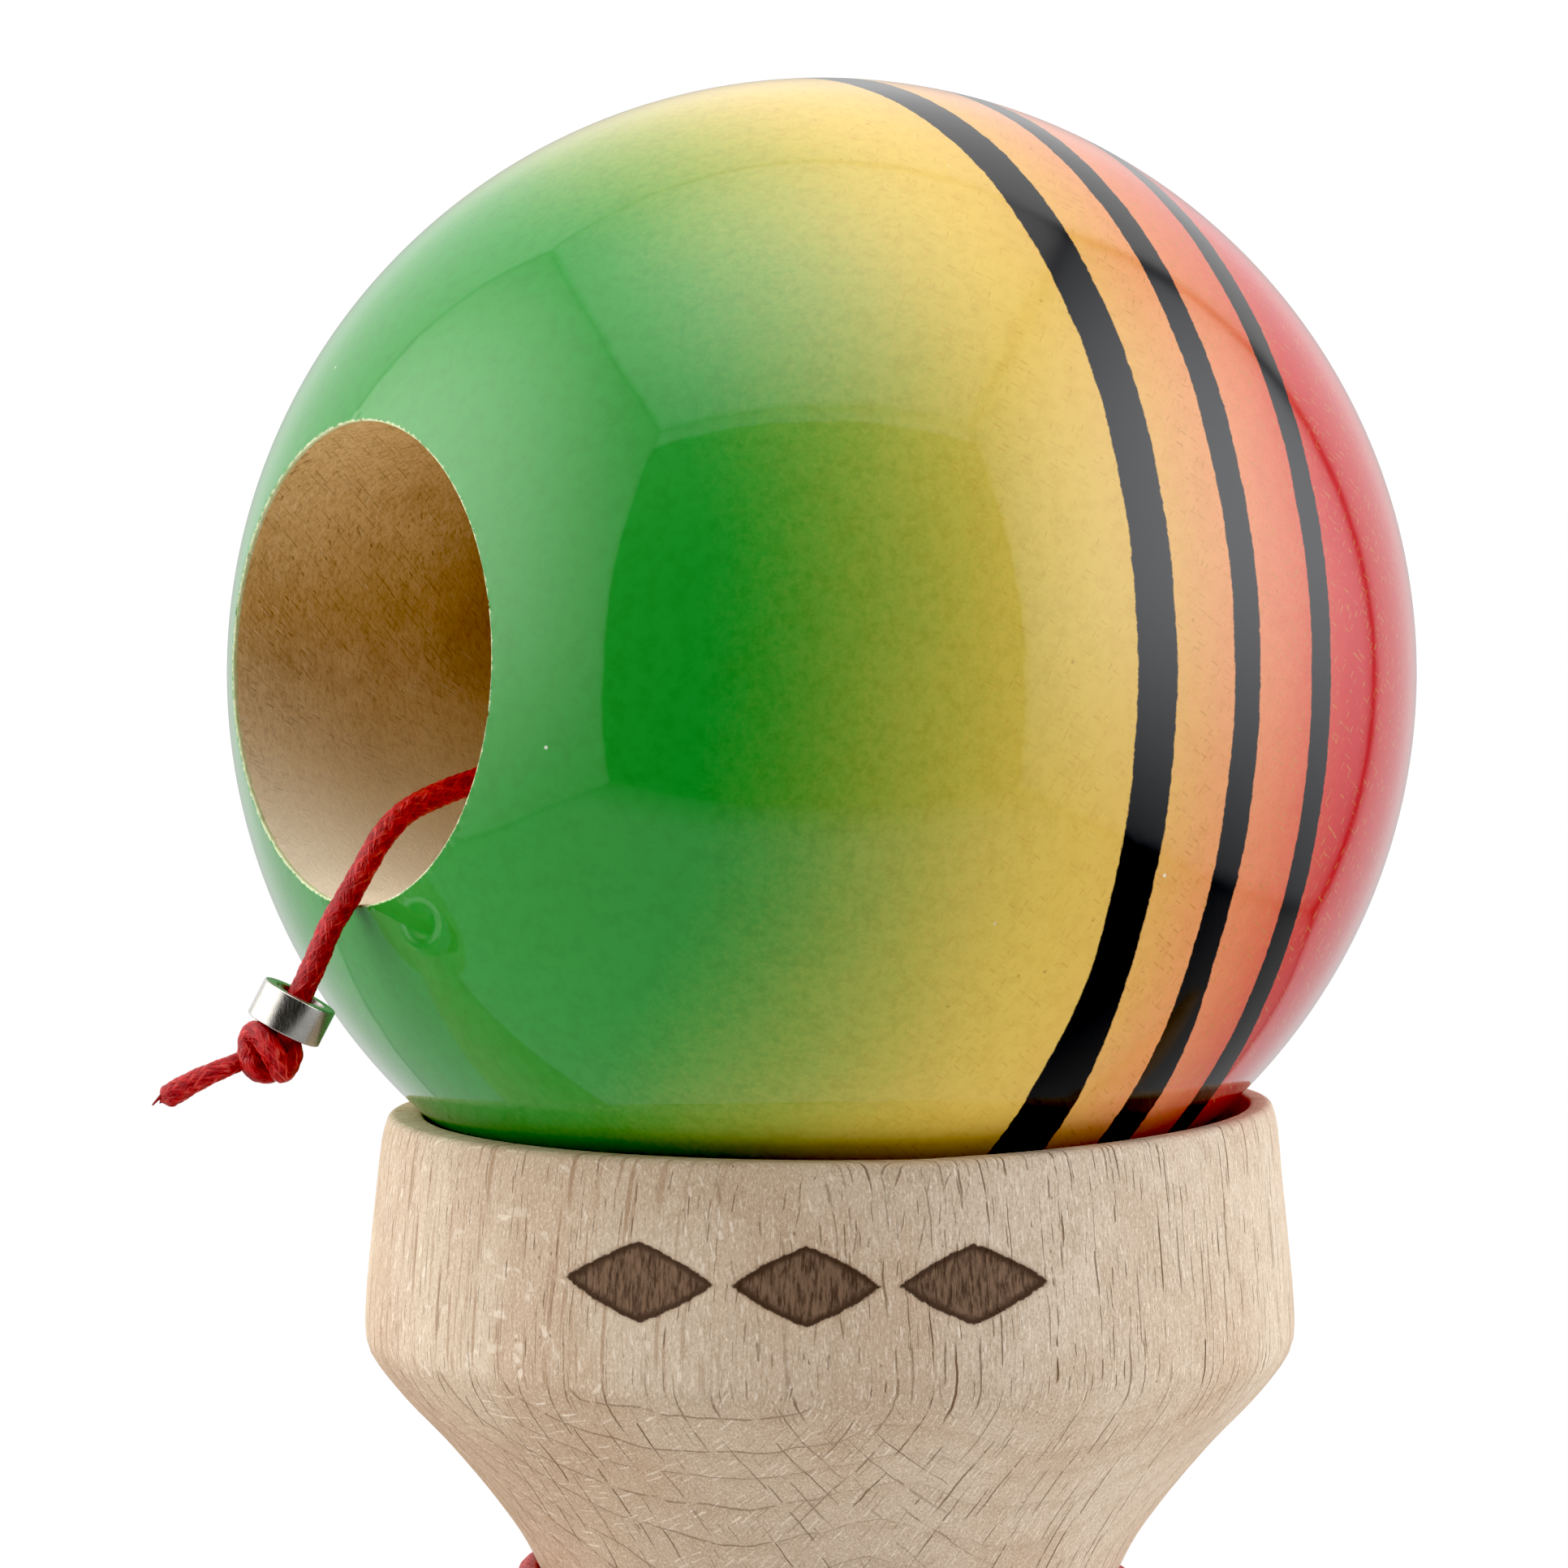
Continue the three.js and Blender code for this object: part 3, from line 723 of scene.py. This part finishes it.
# ---------------------------------------------------------------- the string
LEAD_ROUTE = [
    (0, -4.7, 36), (0, 0, 36), (0, 6, 36), (0, 12, 36), (0, 15, 36), (0.1, 16.8, 36.8),
    (0.4, 17.6, 38.6), (1.5, 17.2, 41), (3.4, 16.2, 42.6), (6.0, 14.6, 43.8), (8.6, 12.3, 44.6),
]
RISE_ROUTE = [
    (16.6, 86, 50.1), (17.6, 76, 51.8), (19.4, 66, 54.2), (21.8, 57.5, 57.1),
    (24.5, 50, 60.6), (26.4, 46, 66), (28.2, 42.5, 72), (30.0, 39.5, 78), (31.8, 37, 84),
    (32.9, 35.5, 88.5), (33.1, 35, 90.6), (32.6, 35, 92.3), (31.5, 35, 93),
]
END_ROUTE = [
    (-31.1, 0, -1.2), (-29, 0, -1.11), (-22, 0, -0.85), (-15, 0, -0.6), (-8, 0.1, -0.75),
    (0, 0.2, -1.35), (8, 0.3, -2.3), (15, 0.4, -3.45), (20, 0.45, -4.45), (23.4, 0.52, -5.35),
    (25.3, 0.55, -6.15), (26.6, 0.56, -7.3), (27.58, 0.58, -8.67), (28.54, 0.59, -10.07),
    (29.58, 0.61, -11.5), (30.35, 0.62, -13), (31.05, 0.63, -14.25), (31.7, 0.64, -15.4),
]
BEAD_CENTRE = from_ball(31.77, 0.58, -15.53)
BEAD_AXIS = Vector((0.457, -0.024, 0.889)).normalized()
KNOT_CENTRE = from_ball(33.01, 0.57, -17.34)
# the knot's centreline from its middle: to the right, up, and towards the front, in mm
KNOT_ROUTE = [
    (0.62, 1.09, 0), (0.75, 0.45, -0.35), (0.65, -0.25, -0.55), (0.35, -0.85, -0.35),
    (-0.25, -1.0, 0), (-0.75, -0.75, 0.2), (-0.95, -0.1, 0.1), (-0.85, 0.8, 0.15),
    (-0.45, 0.85, 0.5), (-0.05, 0.35, 0.75), (0.35, -0.35, 0.75), (0.6, -0.95, 0.35),
    (1.0, -0.3, -0.1), (0.95, 0.15, -0.3), (0.4, 0.35, -0.75), (-0.4, 0, -0.85),
    (-1.0, -0.35, -0.45), (-1.6, -0.6, -0.2),
]
TAIL_ROUTE = [(-2.6, -1.0, 0), (-3.6, -1.45, 0.2), (-4.5, -1.95, 0.4), (-5.15, -2.33, 0.55)]
WIND_TURNS = 2.89
WIND_LOW = 45.2
WIND_PITCH = 1.2
WIND_GAP = 0.02
WIND_BEARING = 47
NECK_HEIGHTS = (44.0, 45.2, 46.5, 48.0, 50.0)
NECK_RADII = (13.40, 13.62, 13.90, 14.46, 15.30)


def braided(name, path, material, radius=CORD_R, sides=32, radii=None):
    """A braided round cord along evenly spaced points in metres, with closed ends."""
    path = np.array(path)
    tangents = np.gradient(path, axis=0)
    tangents /= np.linalg.norm(tangents, axis=1)[:, None]
    side = np.cross(tangents[0], (0.0, 0.31, 0.95))
    side /= np.linalg.norm(side)
    run = 0.0
    vertices = [tuple(path[0] - tangents[0] * radius * MM * 0.25)]
    strand = [0.5]
    weave = [(0, 0, 0)]
    for i, (point, tangent) in enumerate(zip(path, tangents)):
        side = side - tangent * (side @ tangent)
        side /= np.linalg.norm(side)
        other = np.cross(tangent, side)
        if i:
            run += float(np.linalg.norm(path[i] - path[i - 1])) / MM
        here = radius if radii is None else radii[i]
        for k in range(sides):
            angle = TAU * k / sides
            left = math.cos(4 * angle + run * 6.0)
            right = math.cos(4 * angle - run * 6.0)
            swell = max(abs(left) ** 0.7 * (0.5 + 0.5 * right), abs(right) ** 0.7 * (0.5 - 0.5 * left))
            lump = noise.noise(Vector(point) * 900) * 0.03
            r = here * (0.93 + 0.09 * swell + lump) * MM
            vertices.append(tuple(point + (side * math.cos(angle) + other * math.sin(angle)) * r))
            strand.append(swell)
            weave.append((angle, run, here))
    vertices.append(tuple(path[-1] + tangents[-1] * radius * MM * 0.25))
    strand.append(0.5)
    weave.append((0, run, 0))
    rings = [[0]]
    rings += [[1 + i * sides + k for k in range(sides)] for i in range(len(path))]
    rings.append([len(vertices) - 1])
    faces = []
    for lower, upper in zip(rings, rings[1:]):
        faces += stitch(lower, upper)
    obj = new_object(name, vertices, faces, [material])
    attribute = obj.data.attributes.new("strand", "FLOAT", "POINT")
    attribute.data.foreach_set("value", strand)
    weave = np.array(weave)
    for label, twist in (("weave_right", 0.85), ("weave_left", -0.85)):
        turned = weave[:, 0] + twist * weave[:, 1]
        columns = [weave[:, 2] * np.cos(turned), weave[:, 2] * np.sin(turned), weave[:, 1] * 0.2]
        spots = np.stack(columns, axis=1)
        attribute = obj.data.attributes.new(label, "FLOAT_VECTOR", "POINT")
        attribute.data.foreach_set("vector", spots.ravel())
    return obj


def neck_string(material, knot):
    """From the knot in the handle, round the neck, and up to the ball's small hole."""
    lead = [Vector((CUP_X + x * MM, y * MM, z * MM)) for x, y, z in LEAD_ROUTE]
    turns = []
    steps = round(WIND_TURNS * 24)
    for i in range(steps + 1):
        share = i / steps
        z = WIND_LOW + share * WIND_TURNS * WIND_PITCH
        neck = float(np.interp(z, NECK_HEIGHTS, NECK_RADII))
        turns.append(from_cross(neck + CORD_R + WIND_GAP, WIND_BEARING - share * WIND_TURNS * 360, z))
    rise = [from_cross(*p) for p in RISE_ROUTE]
    for i, point in enumerate(rise):
        point.x -= (CUP_X - CROSS_X) * i / (len(rise) - 1)
    path = through(lead + turns + rise, 0.12 * MM)
    obj = braided("string_neck", path, material, sides=24)
    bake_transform(obj)
    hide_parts("string_lead", "string_turns", "string_rise")
    return obj


def from_knot(right, up, front):
    return KNOT_CENTRE + Vector((right, -front, up)) * MM


def wisp(start, way, length, radius, bend, material):
    """A loose fibre at the cut end."""
    points = []
    for share in np.linspace(0, 1, 9):
        points.append(start + way * (length * share * MM) + bend * (length * share * share * MM))
    radii = [radius * (1 - 0.75 * i / 8) for i in range(9)]
    return braided("wisp", points, material, sides=8, radii=radii, radius=radius)


def joined(obj, others):
    """Adds the others' meshes to obj."""
    bm = bmesh.new()
    bm.from_mesh(obj.data)
    for other in others:
        bm.from_mesh(other.data)
        mesh = other.data
        bpy.data.objects.remove(other)
        bpy.data.meshes.remove(mesh)
    bm.to_mesh(obj.data)
    bm.free()
    obj.data.shade_smooth()


def end_string(material):
    """Through the ball, over the hole's lip and the bead, into its knot and short tail."""
    route = [from_ball(*p) for p in END_ROUTE]
    knot = [from_knot(*p) for p in KNOT_ROUTE]
    tail = [from_knot(*p) for p in TAIL_ROUTE]
    path = through(route + knot + tail, 0.09 * MM)
    radii = []
    for point in path:
        off = (Vector(point) - KNOT_CENTRE) / MM
        in_tail = off.x < -1.4 and off.z < 0.5
        if in_tail:
            radii.append(min(0.60, 0.46 + 0.045 * (-1.4 - off.x)))
        else:
            radii.append(KNOT_CORD_R + (CORD_R - KNOT_CORD_R) * min(1, max(0, (off.length - 1.4) / 1.2)))
    ends = (0.985, 0.94, 0.85, 0.68, 0.40)
    for i, share in enumerate(ends):
        radii[len(radii) - len(ends) + i] *= share
    obj = braided("string_end_cord", path, material, radii=radii)
    tip = Vector(path[-1])
    back = (Vector(path[-6]) - tip).normalized()
    out = -back
    upward = Vector((0.35, 0, 0.94))
    wisps = []
    for rise, inset, length, thick, bend in (
        (0.38, 0.25, 0.95, 0.17, (0, 0, -0.25)),
        (0.20, 0.2, 0.45, 0.10, (0, 0, 0.15)),
        (-0.1, 0.2, 0.32, 0.12, (0, 0.2, 0)),
    ):
        start = tip + upward * rise * MM + back * inset * MM
        wisps.append(wisp(start, out, length, thick, Vector(bend), material))
    joined(obj, wisps)
    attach(obj, "string_end")
    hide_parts("string_end", "string_tail", "end_knot")
    return obj, path


def bead_ring(material):
    edge = 0.10
    profile = []
    for radius, height in (
        [(BEAD_BORE_R, -BEAD_HALF + edge), (BEAD_BORE_R + edge * 0.3, -BEAD_HALF + edge * 0.3),
         (BEAD_BORE_R + edge, -BEAD_HALF)]
        + arc(BEAD_R - edge, -BEAD_HALF + edge, edge, -90, 0, 5)
        + arc(BEAD_R - edge, BEAD_HALF - edge, edge, 0, 90, 5)
        + [(BEAD_BORE_R + edge, BEAD_HALF), (BEAD_BORE_R + edge * 0.3, BEAD_HALF - edge * 0.3),
           (BEAD_BORE_R, BEAD_HALF - edge)]
    ):
        profile.append((radius, height, 96, 0))
    turn = BEAD_AXIS.to_track_quat("Z", "Y").to_matrix().to_4x4()
    obj = revolve("bead_ring", profile, Matrix.Translation(BEAD_CENTRE) @ turn, [material], closed=True)
    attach(obj, "bead")
    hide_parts("bead")
    return obj


def handle_knot(material):
    """The stop knot in the handle's pocket, seen by nobody until the toy is untied."""
    points = []
    for t in np.linspace(2.0, -1.7, 30):
        x = 0.45 * (t**3 - 3 * t)
        y = 0.42 * (t**4 - 4 * t**2) + 0.8
        z = 0.45 * (t**5 - 10 * t) / 10
        points.append(Vector((CUP_X, -6.7 * MM, KEN_Z)) + Vector((y, -x * 0.55, z)) * MM)
    obj = braided("handle_knot", through(points, 0.12 * MM), material, radius=0.45, sides=16)
    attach(obj, "handle")
    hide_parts("ken_knot")
    return obj


# ---------------------------------------------------------------- the turned pieces
# the big cup's rim is cut a little unevenly: mm of height per mm to the right and to the front
RIM_RISE = 0.036
RIM_DROP = 0.0125
# the handle's tapered seat, towards its base cup and towards its spike, and the gap round it
SEAT_BASE_R = 8.8
SEAT_SPIKE_R = 8.2
SEAT_HALF = 12.9
SEAT_GAP = 0.12
POCKET_R = 2.3
SPIKE_TIP_R = 2.6
# the three cups' hollows, at their rims
BIG_CUP_R = 20.55
BIG_CUP_DEPTH = 14
SMALL_CUP_R = 18.5
SMALL_CUP_DEPTH = 10
BASE_CUP_R = 17.1
BASE_CUP_DEPTH = 8


def cross_piece(material):
    coarse, fine = 180, 720
    low = [(r, -h) for r, h in dish(0, SMALL_CUP_R, SMALL_CUP_DEPTH, 26)]
    outer = smooth_profile([
        (20.3, 0.6), (20.55, 3.5), (20.95, 8), (21.05, 10.4), (20.6, 11.7), (18.6, 14), (16.4, 17.4),
        (14.4, 22.5), (13.3, 28.5), (12.9, 36), (13.1, 41.5), (13.9, 46.5), (15.3, 50),
        (16.9, 52.4), (19.5, 55.55), (21.6, 57.75), (23.0, 59.5), (23.43, 60.3),
        (23.56, 61.3), (23.46, 63.5)], 0.7)
    wall = smooth_profile([(23.46, 63.5), (23.13, 66.8), (22.89, 69)], 0.24)
    bevel = [(22.89, 69), (22.71, 70.6), (22.58, 71.2)]
    profile = turned(low[:-1], coarse)
    profile += turned(arc(SMALL_CUP_R + RIM_ROUND, RIM_ROUND, RIM_ROUND, 180, 270, 5), coarse)
    profile += turned(arc(20.3 - RIM_ROUND, RIM_ROUND, RIM_ROUND, -90, -8, 5), coarse)
    profile += [(r, h, fine if h > 60.5 else coarse, 0) for r, h in outer]
    profile += turned(wall[1:], fine)
    profile += turned(bevel[1:], coarse)
    top = RIM_Z / MM
    profile += turned(arc(22.45 - RIM_ROUND, top - RIM_ROUND, RIM_ROUND, 8, 90, 6), coarse)
    profile += turned(arc(BIG_CUP_R + 0.3, top - 0.3, 0.3, 90, 180, 4), coarse)
    profile += turned(reversed(dish(top, BIG_CUP_R, BIG_CUP_DEPTH, 34)[:-1]), coarse)

    def shift(angle, radius, height):
        x, y = radius * math.cos(angle), radius * math.sin(angle)
        swell = noise.noise(Vector((x, y, height)) * 0.12) * 0.035
        if radius > MARK_LEAST_R and height > 60:
            swell -= lozenge_depth(x, y, height)
        near_rim = min(1.0, max(0.0, (height - 68.6) / 2.6))
        rise = RIM_RISE * max(0.0, x - 4)
        if near_rim and radius < 21.5:
            swell += rise * 1.05
        return swell, near_rim * (rise - RIM_DROP * max(0.0, -y))

    place = Matrix.Translation((CUP_X, 0, 0))
    obj = revolve("cross_piece", profile, place, [material], shift=shift)
    seat_base = SEAT_BASE_R + SEAT_GAP
    seat_spike = SEAT_SPIKE_R + SEAT_GAP
    half = SEAT_HALF
    taper = (seat_base - seat_spike) / (2 * half)
    middle = (seat_base + seat_spike) / 2
    reach = 26
    bore = cutter(Vector((CUP_X - reach * MM, 0, KEN_Z)), Vector((CUP_X + reach * MM, 0, KEN_Z)),
                  middle + taper * reach, middle - taper * reach, 160)
    string_hole = cutter(Vector((CUP_X, 5 * MM, KEN_Z)), Vector((CUP_X, 20 * MM, KEN_Z)),
                         CORD_HOLE_R, CORD_HOLE_R, 48)
    cut_away(obj, [bore, string_hole])
    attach(obj, "handle")
    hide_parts("sarado")
    return obj


def handle_piece(material):
    segments = 160
    reach_low, reach_high = (ken_low.x - CROSS_X) / MM, (ken_high.x - CROSS_X) / MM
    low = [(r, -h) for r, h in dish(-reach_low, BASE_CUP_R, BASE_CUP_DEPTH, 22)]
    outer = smooth_profile([
        (18.6, reach_low + 0.6), (18.85, -96.5), (19.05, -93), (19.0, -91.9), (18.3, -90.8), (15.8, -88),
        (11.8, -83.6), (8.9, -79.4), (7.4, -75), (7.1, -70.5), (7.6, -64), (8.9, -54), (10.1, -43),
        (10.3, -34), (9.8, -24), (9.1, -16.5), (SEAT_BASE_R, -SEAT_HALF), (8.5, 0),
        (SEAT_SPIKE_R, SEAT_HALF), (8.0, 16),
        (7.35, 27), (6.3, 39), (4.9, 51), (3.4, 60.5), (2.75, 64)], 0.8)
    profile = turned(low[:-1], segments)
    profile += turned(arc(BASE_CUP_R + 0.4, reach_low + 0.4, 0.4, 180, 270, 5), segments)
    profile += turned(arc(18.6 - RIM_ROUND, reach_low + RIM_ROUND, RIM_ROUND, -90, -8, 5), segments)
    profile += turned(outer, segments)
    profile += turned(arc(0, reach_high - SPIKE_TIP_R, SPIKE_TIP_R, 15, 90, 10), segments)

    def shift(angle, radius, height):
        x, y = radius * math.cos(angle), radius * math.sin(angle)
        if abs(height) < 15:
            return 0, 0
        return noise.noise(Vector((x, y, height * 0.4)) * 0.12) * 0.04, 0

    place = Matrix.Translation((CROSS_X, 0, KEN_Z)) @ Matrix.Rotation(math.pi / 2, 4, "Y")
    obj = revolve("ken_handle", profile, place, [material], shift=shift)
    edge = Vector((CUP_X, -9.8 * MM, KEN_Z))
    string_hole = cutter(edge, Vector((CUP_X, 12 * MM, KEN_Z)), CORD_HOLE_R, CORD_HOLE_R, 48)
    pocket = cutter(edge, Vector((CUP_X, -4.5 * MM, KEN_Z)), POCKET_R, POCKET_R, 48)
    cut_away(obj, [string_hole, pocket])
    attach(obj, "handle")
    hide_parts("ken")
    return obj


def ball(paint, raw):
    coarse, fine = 240, 960
    lip = math.sqrt(BALL_R**2 - (BORE_R + LIP_ROUND) ** 2)
    bore_end = lip - BORE_DEPTH
    pole_small = math.degrees(math.acos((CORD_HOLE_R + 0.55) / BALL_R))
    pole_big = math.degrees(math.acos((BORE_R + LIP_ROUND) / BALL_R))
    channel = [(CORD_HOLE_R, h, 48, 1) for h in np.linspace(bore_end - 4.5, -BALL_R + 0.7, 8)]
    flare = [(CORD_HOLE_R + 0.08, -BALL_R + 0.45, 48, 1), (CORD_HOLE_R + 0.25, -BALL_R + 0.2, 240, 0)]
    sphere = []
    for r, h in arc(0, 0, BALL_R, -pole_small, pole_big, 150):
        near_lip = h > lip - 1.6
        sphere.append((r, h, fine if near_lip else coarse, 0))
    tight = [(BALL_R * math.cos(math.radians(a)), BALL_R * math.sin(math.radians(a)), fine, 0)
             for a in np.linspace(pole_big - 1.2, pole_big, 6)]
    sphere = [p for p in sphere if p[1] < tight[0][1] - 0.1] + tight
    edge = turned(arc(BORE_R + LIP_ROUND, lip - LIP_ROUND, LIP_ROUND, 82, 178, 6), fine)
    wall = []
    for share in np.linspace(0.01, 1, 46) ** 1.3:
        radius = BORE_R + (BORE_R_DEEP - BORE_R) * share
        height = lip - LIP_ROUND + (bore_end - lip + LIP_ROUND) * share
        wall.append((radius, height, fine if share < 0.06 else coarse, 1))
    floor = [(BORE_R_DEEP * s, bore_end - 3.4 * (1 - s) ** 0.8 - 0.3 * (1 - s), coarse, 1)
             for s in (0.985, 0.94, 0.86, 0.72, 0.55, 0.36, 0.22)]
    floor.append((CORD_HOLE_R + 0.2, bore_end - 4.2, 48, 1))

    def shift(angle, radius, height):
        x, y = radius * math.cos(angle), radius * math.sin(angle)
        off_lip = math.hypot(radius - BORE_R - LIP_ROUND / 2, height - lip + LIP_ROUND / 2)
        if off_lip < 0.5 and height > 20:
            here = Vector((x, y, height))
            rag = noise.noise(here * 2.3) + 0.5 * noise.noise(here * 6.1)
            nick = max(0.0, rag - 0.42)
            fade = 1 - off_lip / 0.5
            return (0.03 * rag + 0.12 * nick) * fade, (0.02 * rag - 0.16 * nick) * fade
        if radius < BORE_R + 0.05 and -20 < height < lip:
            wave = noise.noise(Vector((x * 0.5, y * 0.5, height * 0.8))) * 0.03
            tool = math.sin(height * 7.0 + 1.5 * math.sin(angle)) * 0.012
            return wave + tool, 0
        return 0, 0

    profile = channel + flare + sphere + edge + wall + floor
    turn = HOLE_AXIS.to_track_quat("Z", "Y").to_matrix().to_4x4()
    obj = revolve("tama_ball", profile, Matrix.Translation(BALL) @ turn, [paint, raw],
                  closed=True, shift=shift)
    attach(obj, "tama")
    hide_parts("tama")
    return obj


# ---------------------------------------------------------------- light and floor
FLOOR_HALF = 4.0


def make_floor():
    corners = [(FLOOR_HALF * x, FLOOR_HALF * y, 0) for x, y in ((-1, -1), (1, -1), (1, 1), (-1, 1))]
    obj = new_object("floor", corners, [(0, 1, 2, 3)], [floor_white()])
    obj.visible_glossy = False
    obj.visible_diffuse = False


# the light tent seen from the ball's centre, in units of the distance to its left side
TENT_LEFT = 1.0
TENT_RIGHT = 0.88
TENT_BACK = 0.80
TENT_FRONT = 1.11
TENT_TOP = 1.54
TENT_FLOOR = 0.46
OPENING_TOP = 1.37
TENT_LIGHT = 1.08
# its lit cloth: plain brightness, then each lamp's glow, place and spread on it
CLOTH_LIGHT = 0.48
LEFT_GLOW = 3.3
RIGHT_GLOW = 2.7
GLOW_HEIGHT = 0.32
GLOW_ABOVE = 0.7
GLOW_BELOW = 0.4
LEFT_GLOW_DEPTH = 0.0
RIGHT_GLOW_DEPTH = -0.2
SIDE_SPREAD = 0.58
TOP_LIGHT = 0.95
TOP_GLOW = 1.8
TOP_GLOW_ACROSS = -0.2
TOP_GLOW_DEPTH = -0.15
TOP_SPREAD = 0.6
CORNER_SPREAD = 0.06
CORNER_SHADE = 0.45


def make_tent():
    """A white light tent, open towards the camera and lit from its sides and top, as the
    world's light. The camera itself sees plain white."""
    world = bpy.data.worlds.new("tent")
    world.use_nodes = True
    bpy.context.scene.world = world
    g = Graph("tent", world.node_tree)
    way = g.node("ShaderNodeTexCoord").outputs["Generated"]
    x, y, z = g.parts(way)

    def reach(part, ahead, behind):
        bound = g.plus(g.times(g.math("GREATER_THAN", part, 0.0), ahead - behind), behind)
        return g.math("DIVIDE", bound, g.larger(g.size(part), 0.0001))

    to_x = reach(x, TENT_RIGHT, TENT_LEFT)
    to_y = reach(y, TENT_BACK, TENT_FRONT)
    to_z = reach(z, TENT_TOP, TENT_FLOOR)
    near = g.smaller(to_x, g.smaller(to_y, to_z))
    second = g.larger(g.smaller(to_x, to_y), g.smaller(g.larger(to_x, to_y), to_z))
    hit = g.node("ShaderNodeVectorMath", {0: way, "Scale": near}, operation="SCALE").outputs["Vector"]
    hx, hy, hz = g.parts(hit)
    edge = g.times(near, 1.0001)
    on_x = g.math("LESS_THAN", to_x, edge)
    on_y = g.math("LESS_THAN", to_y, edge)

    def bell(part, centre, spread):
        off = g.math("DIVIDE", g.minus(part, centre), spread)
        return g.math("EXPONENT", g.times(g.times(off, off), -0.5))

    def choose(test, yes, no):
        return g.plus(no, g.times(test, g.minus(yes, no)))

    def glowing(base, glow, one, two):
        return g.plus(base, g.times(g.times(one, two), glow))

    above = g.math("GREATER_THAN", hz, GLOW_HEIGHT)
    rise = bell(hz, GLOW_HEIGHT, choose(above, GLOW_ABOVE, GLOW_BELOW))
    left = glowing(CLOTH_LIGHT, LEFT_GLOW, rise, bell(hy, LEFT_GLOW_DEPTH, SIDE_SPREAD))
    right = glowing(CLOTH_LIGHT, RIGHT_GLOW, rise, bell(hy, RIGHT_GLOW_DEPTH, SIDE_SPREAD))
    side = choose(g.math("GREATER_THAN", x, 0.0), right, left)
    top = glowing(TOP_LIGHT, TOP_GLOW, bell(hx, TOP_GLOW_ACROSS, TOP_SPREAD),
                  bell(hy, TOP_GLOW_DEPTH, TOP_SPREAD))
    shine = g.node("ShaderNodeLightPath").outputs["Is Glossy Ray"]
    floor = g.times(g.between(hx, -0.3, 0.4, 0.68, 0.50), g.between(hy, -1.11, -0.75, 0.25, 1.0))
    floor = choose(shine, floor, 1.35)
    top = g.times(top, choose(shine, 1.0, 0.88))
    flat = choose(g.math("GREATER_THAN", z, 0.0), top, floor)
    room = g.between(hz, 0.5, OPENING_TOP, 0.01, 0.14)
    front = choose(g.between(hz, OPENING_TOP - 0.01, OPENING_TOP + 0.02), 0.9, room)
    off_middle = g.vector("LENGTH", g.point(hx, 0, hz))
    back_wall = g.times(g.between(hz, -TENT_FLOOR, TENT_TOP, 0.8, 1.2),
                        g.between(off_middle, 0.03, 0.36, 0.60, 1.12))
    end = choose(g.math("GREATER_THAN", y, 0.0), back_wall, front)
    light = choose(on_x, side, choose(on_y, end, flat))
    seam = g.between(g.math("DIVIDE", second, near), 1.0, g.between(x, -0.2, 0.2, 1.04, 1.09), 0.70, 1.0)
    back_corner = g.times(bell(hx, TENT_RIGHT, CORNER_SPREAD), bell(hy, TENT_BACK, CORNER_SPREAD))
    back_corner = g.times(back_corner, CORNER_SHADE)
    light = g.times(light, g.minus(seam, back_corner))
    seen = g.node("ShaderNodeLightPath").outputs["Is Camera Ray"]
    strength = choose(seen, 1.05, g.times(light, TENT_LIGHT))
    lit = g.times(on_x, g.minus(1.0, seen))
    at_right = g.times(lit, g.math("GREATER_THAN", x, 0.0))
    at_left = g.minus(lit, at_right)
    tint = g.mix(at_left, (1.0, 1.0, 1.0), (1.0, 0.985, 0.96))
    tint = g.mix(at_right, tint, (0.99, 1.0, 1.02))
    back = g.node("ShaderNodeBackground", {"Color": tint, "Strength": strength})
    out = g.node("ShaderNodeOutputWorld")
    g.tree.links.new(back.outputs[0], out.inputs["Surface"])


HAZE = 0.033


def set_exposure():
    """Plain display colours, with the faint haze of a white tent taken out of the blacks."""
    view = bpy.context.scene.view_settings
    view.view_transform = "Standard"
    view.use_curve_mapping = True
    view.curve_mapping.black_level = (HAZE, HAZE, HAZE)
    view.curve_mapping.update()


# ---------------------------------------------------------------- making it
make_camera()
cord_material = waxed_cord()
neck_string(cord_material, handle_knot(cord_material))
end_cord, end_path = end_string(cord_material)
bead = bead_ring(steel())
cross_piece(beech("cup_beech", "Z", marks=True))
handle_piece(beech("handle_beech", "X"))
ball(lacquer(), bore_wood())
make_floor()
make_tent()
set_exposure()
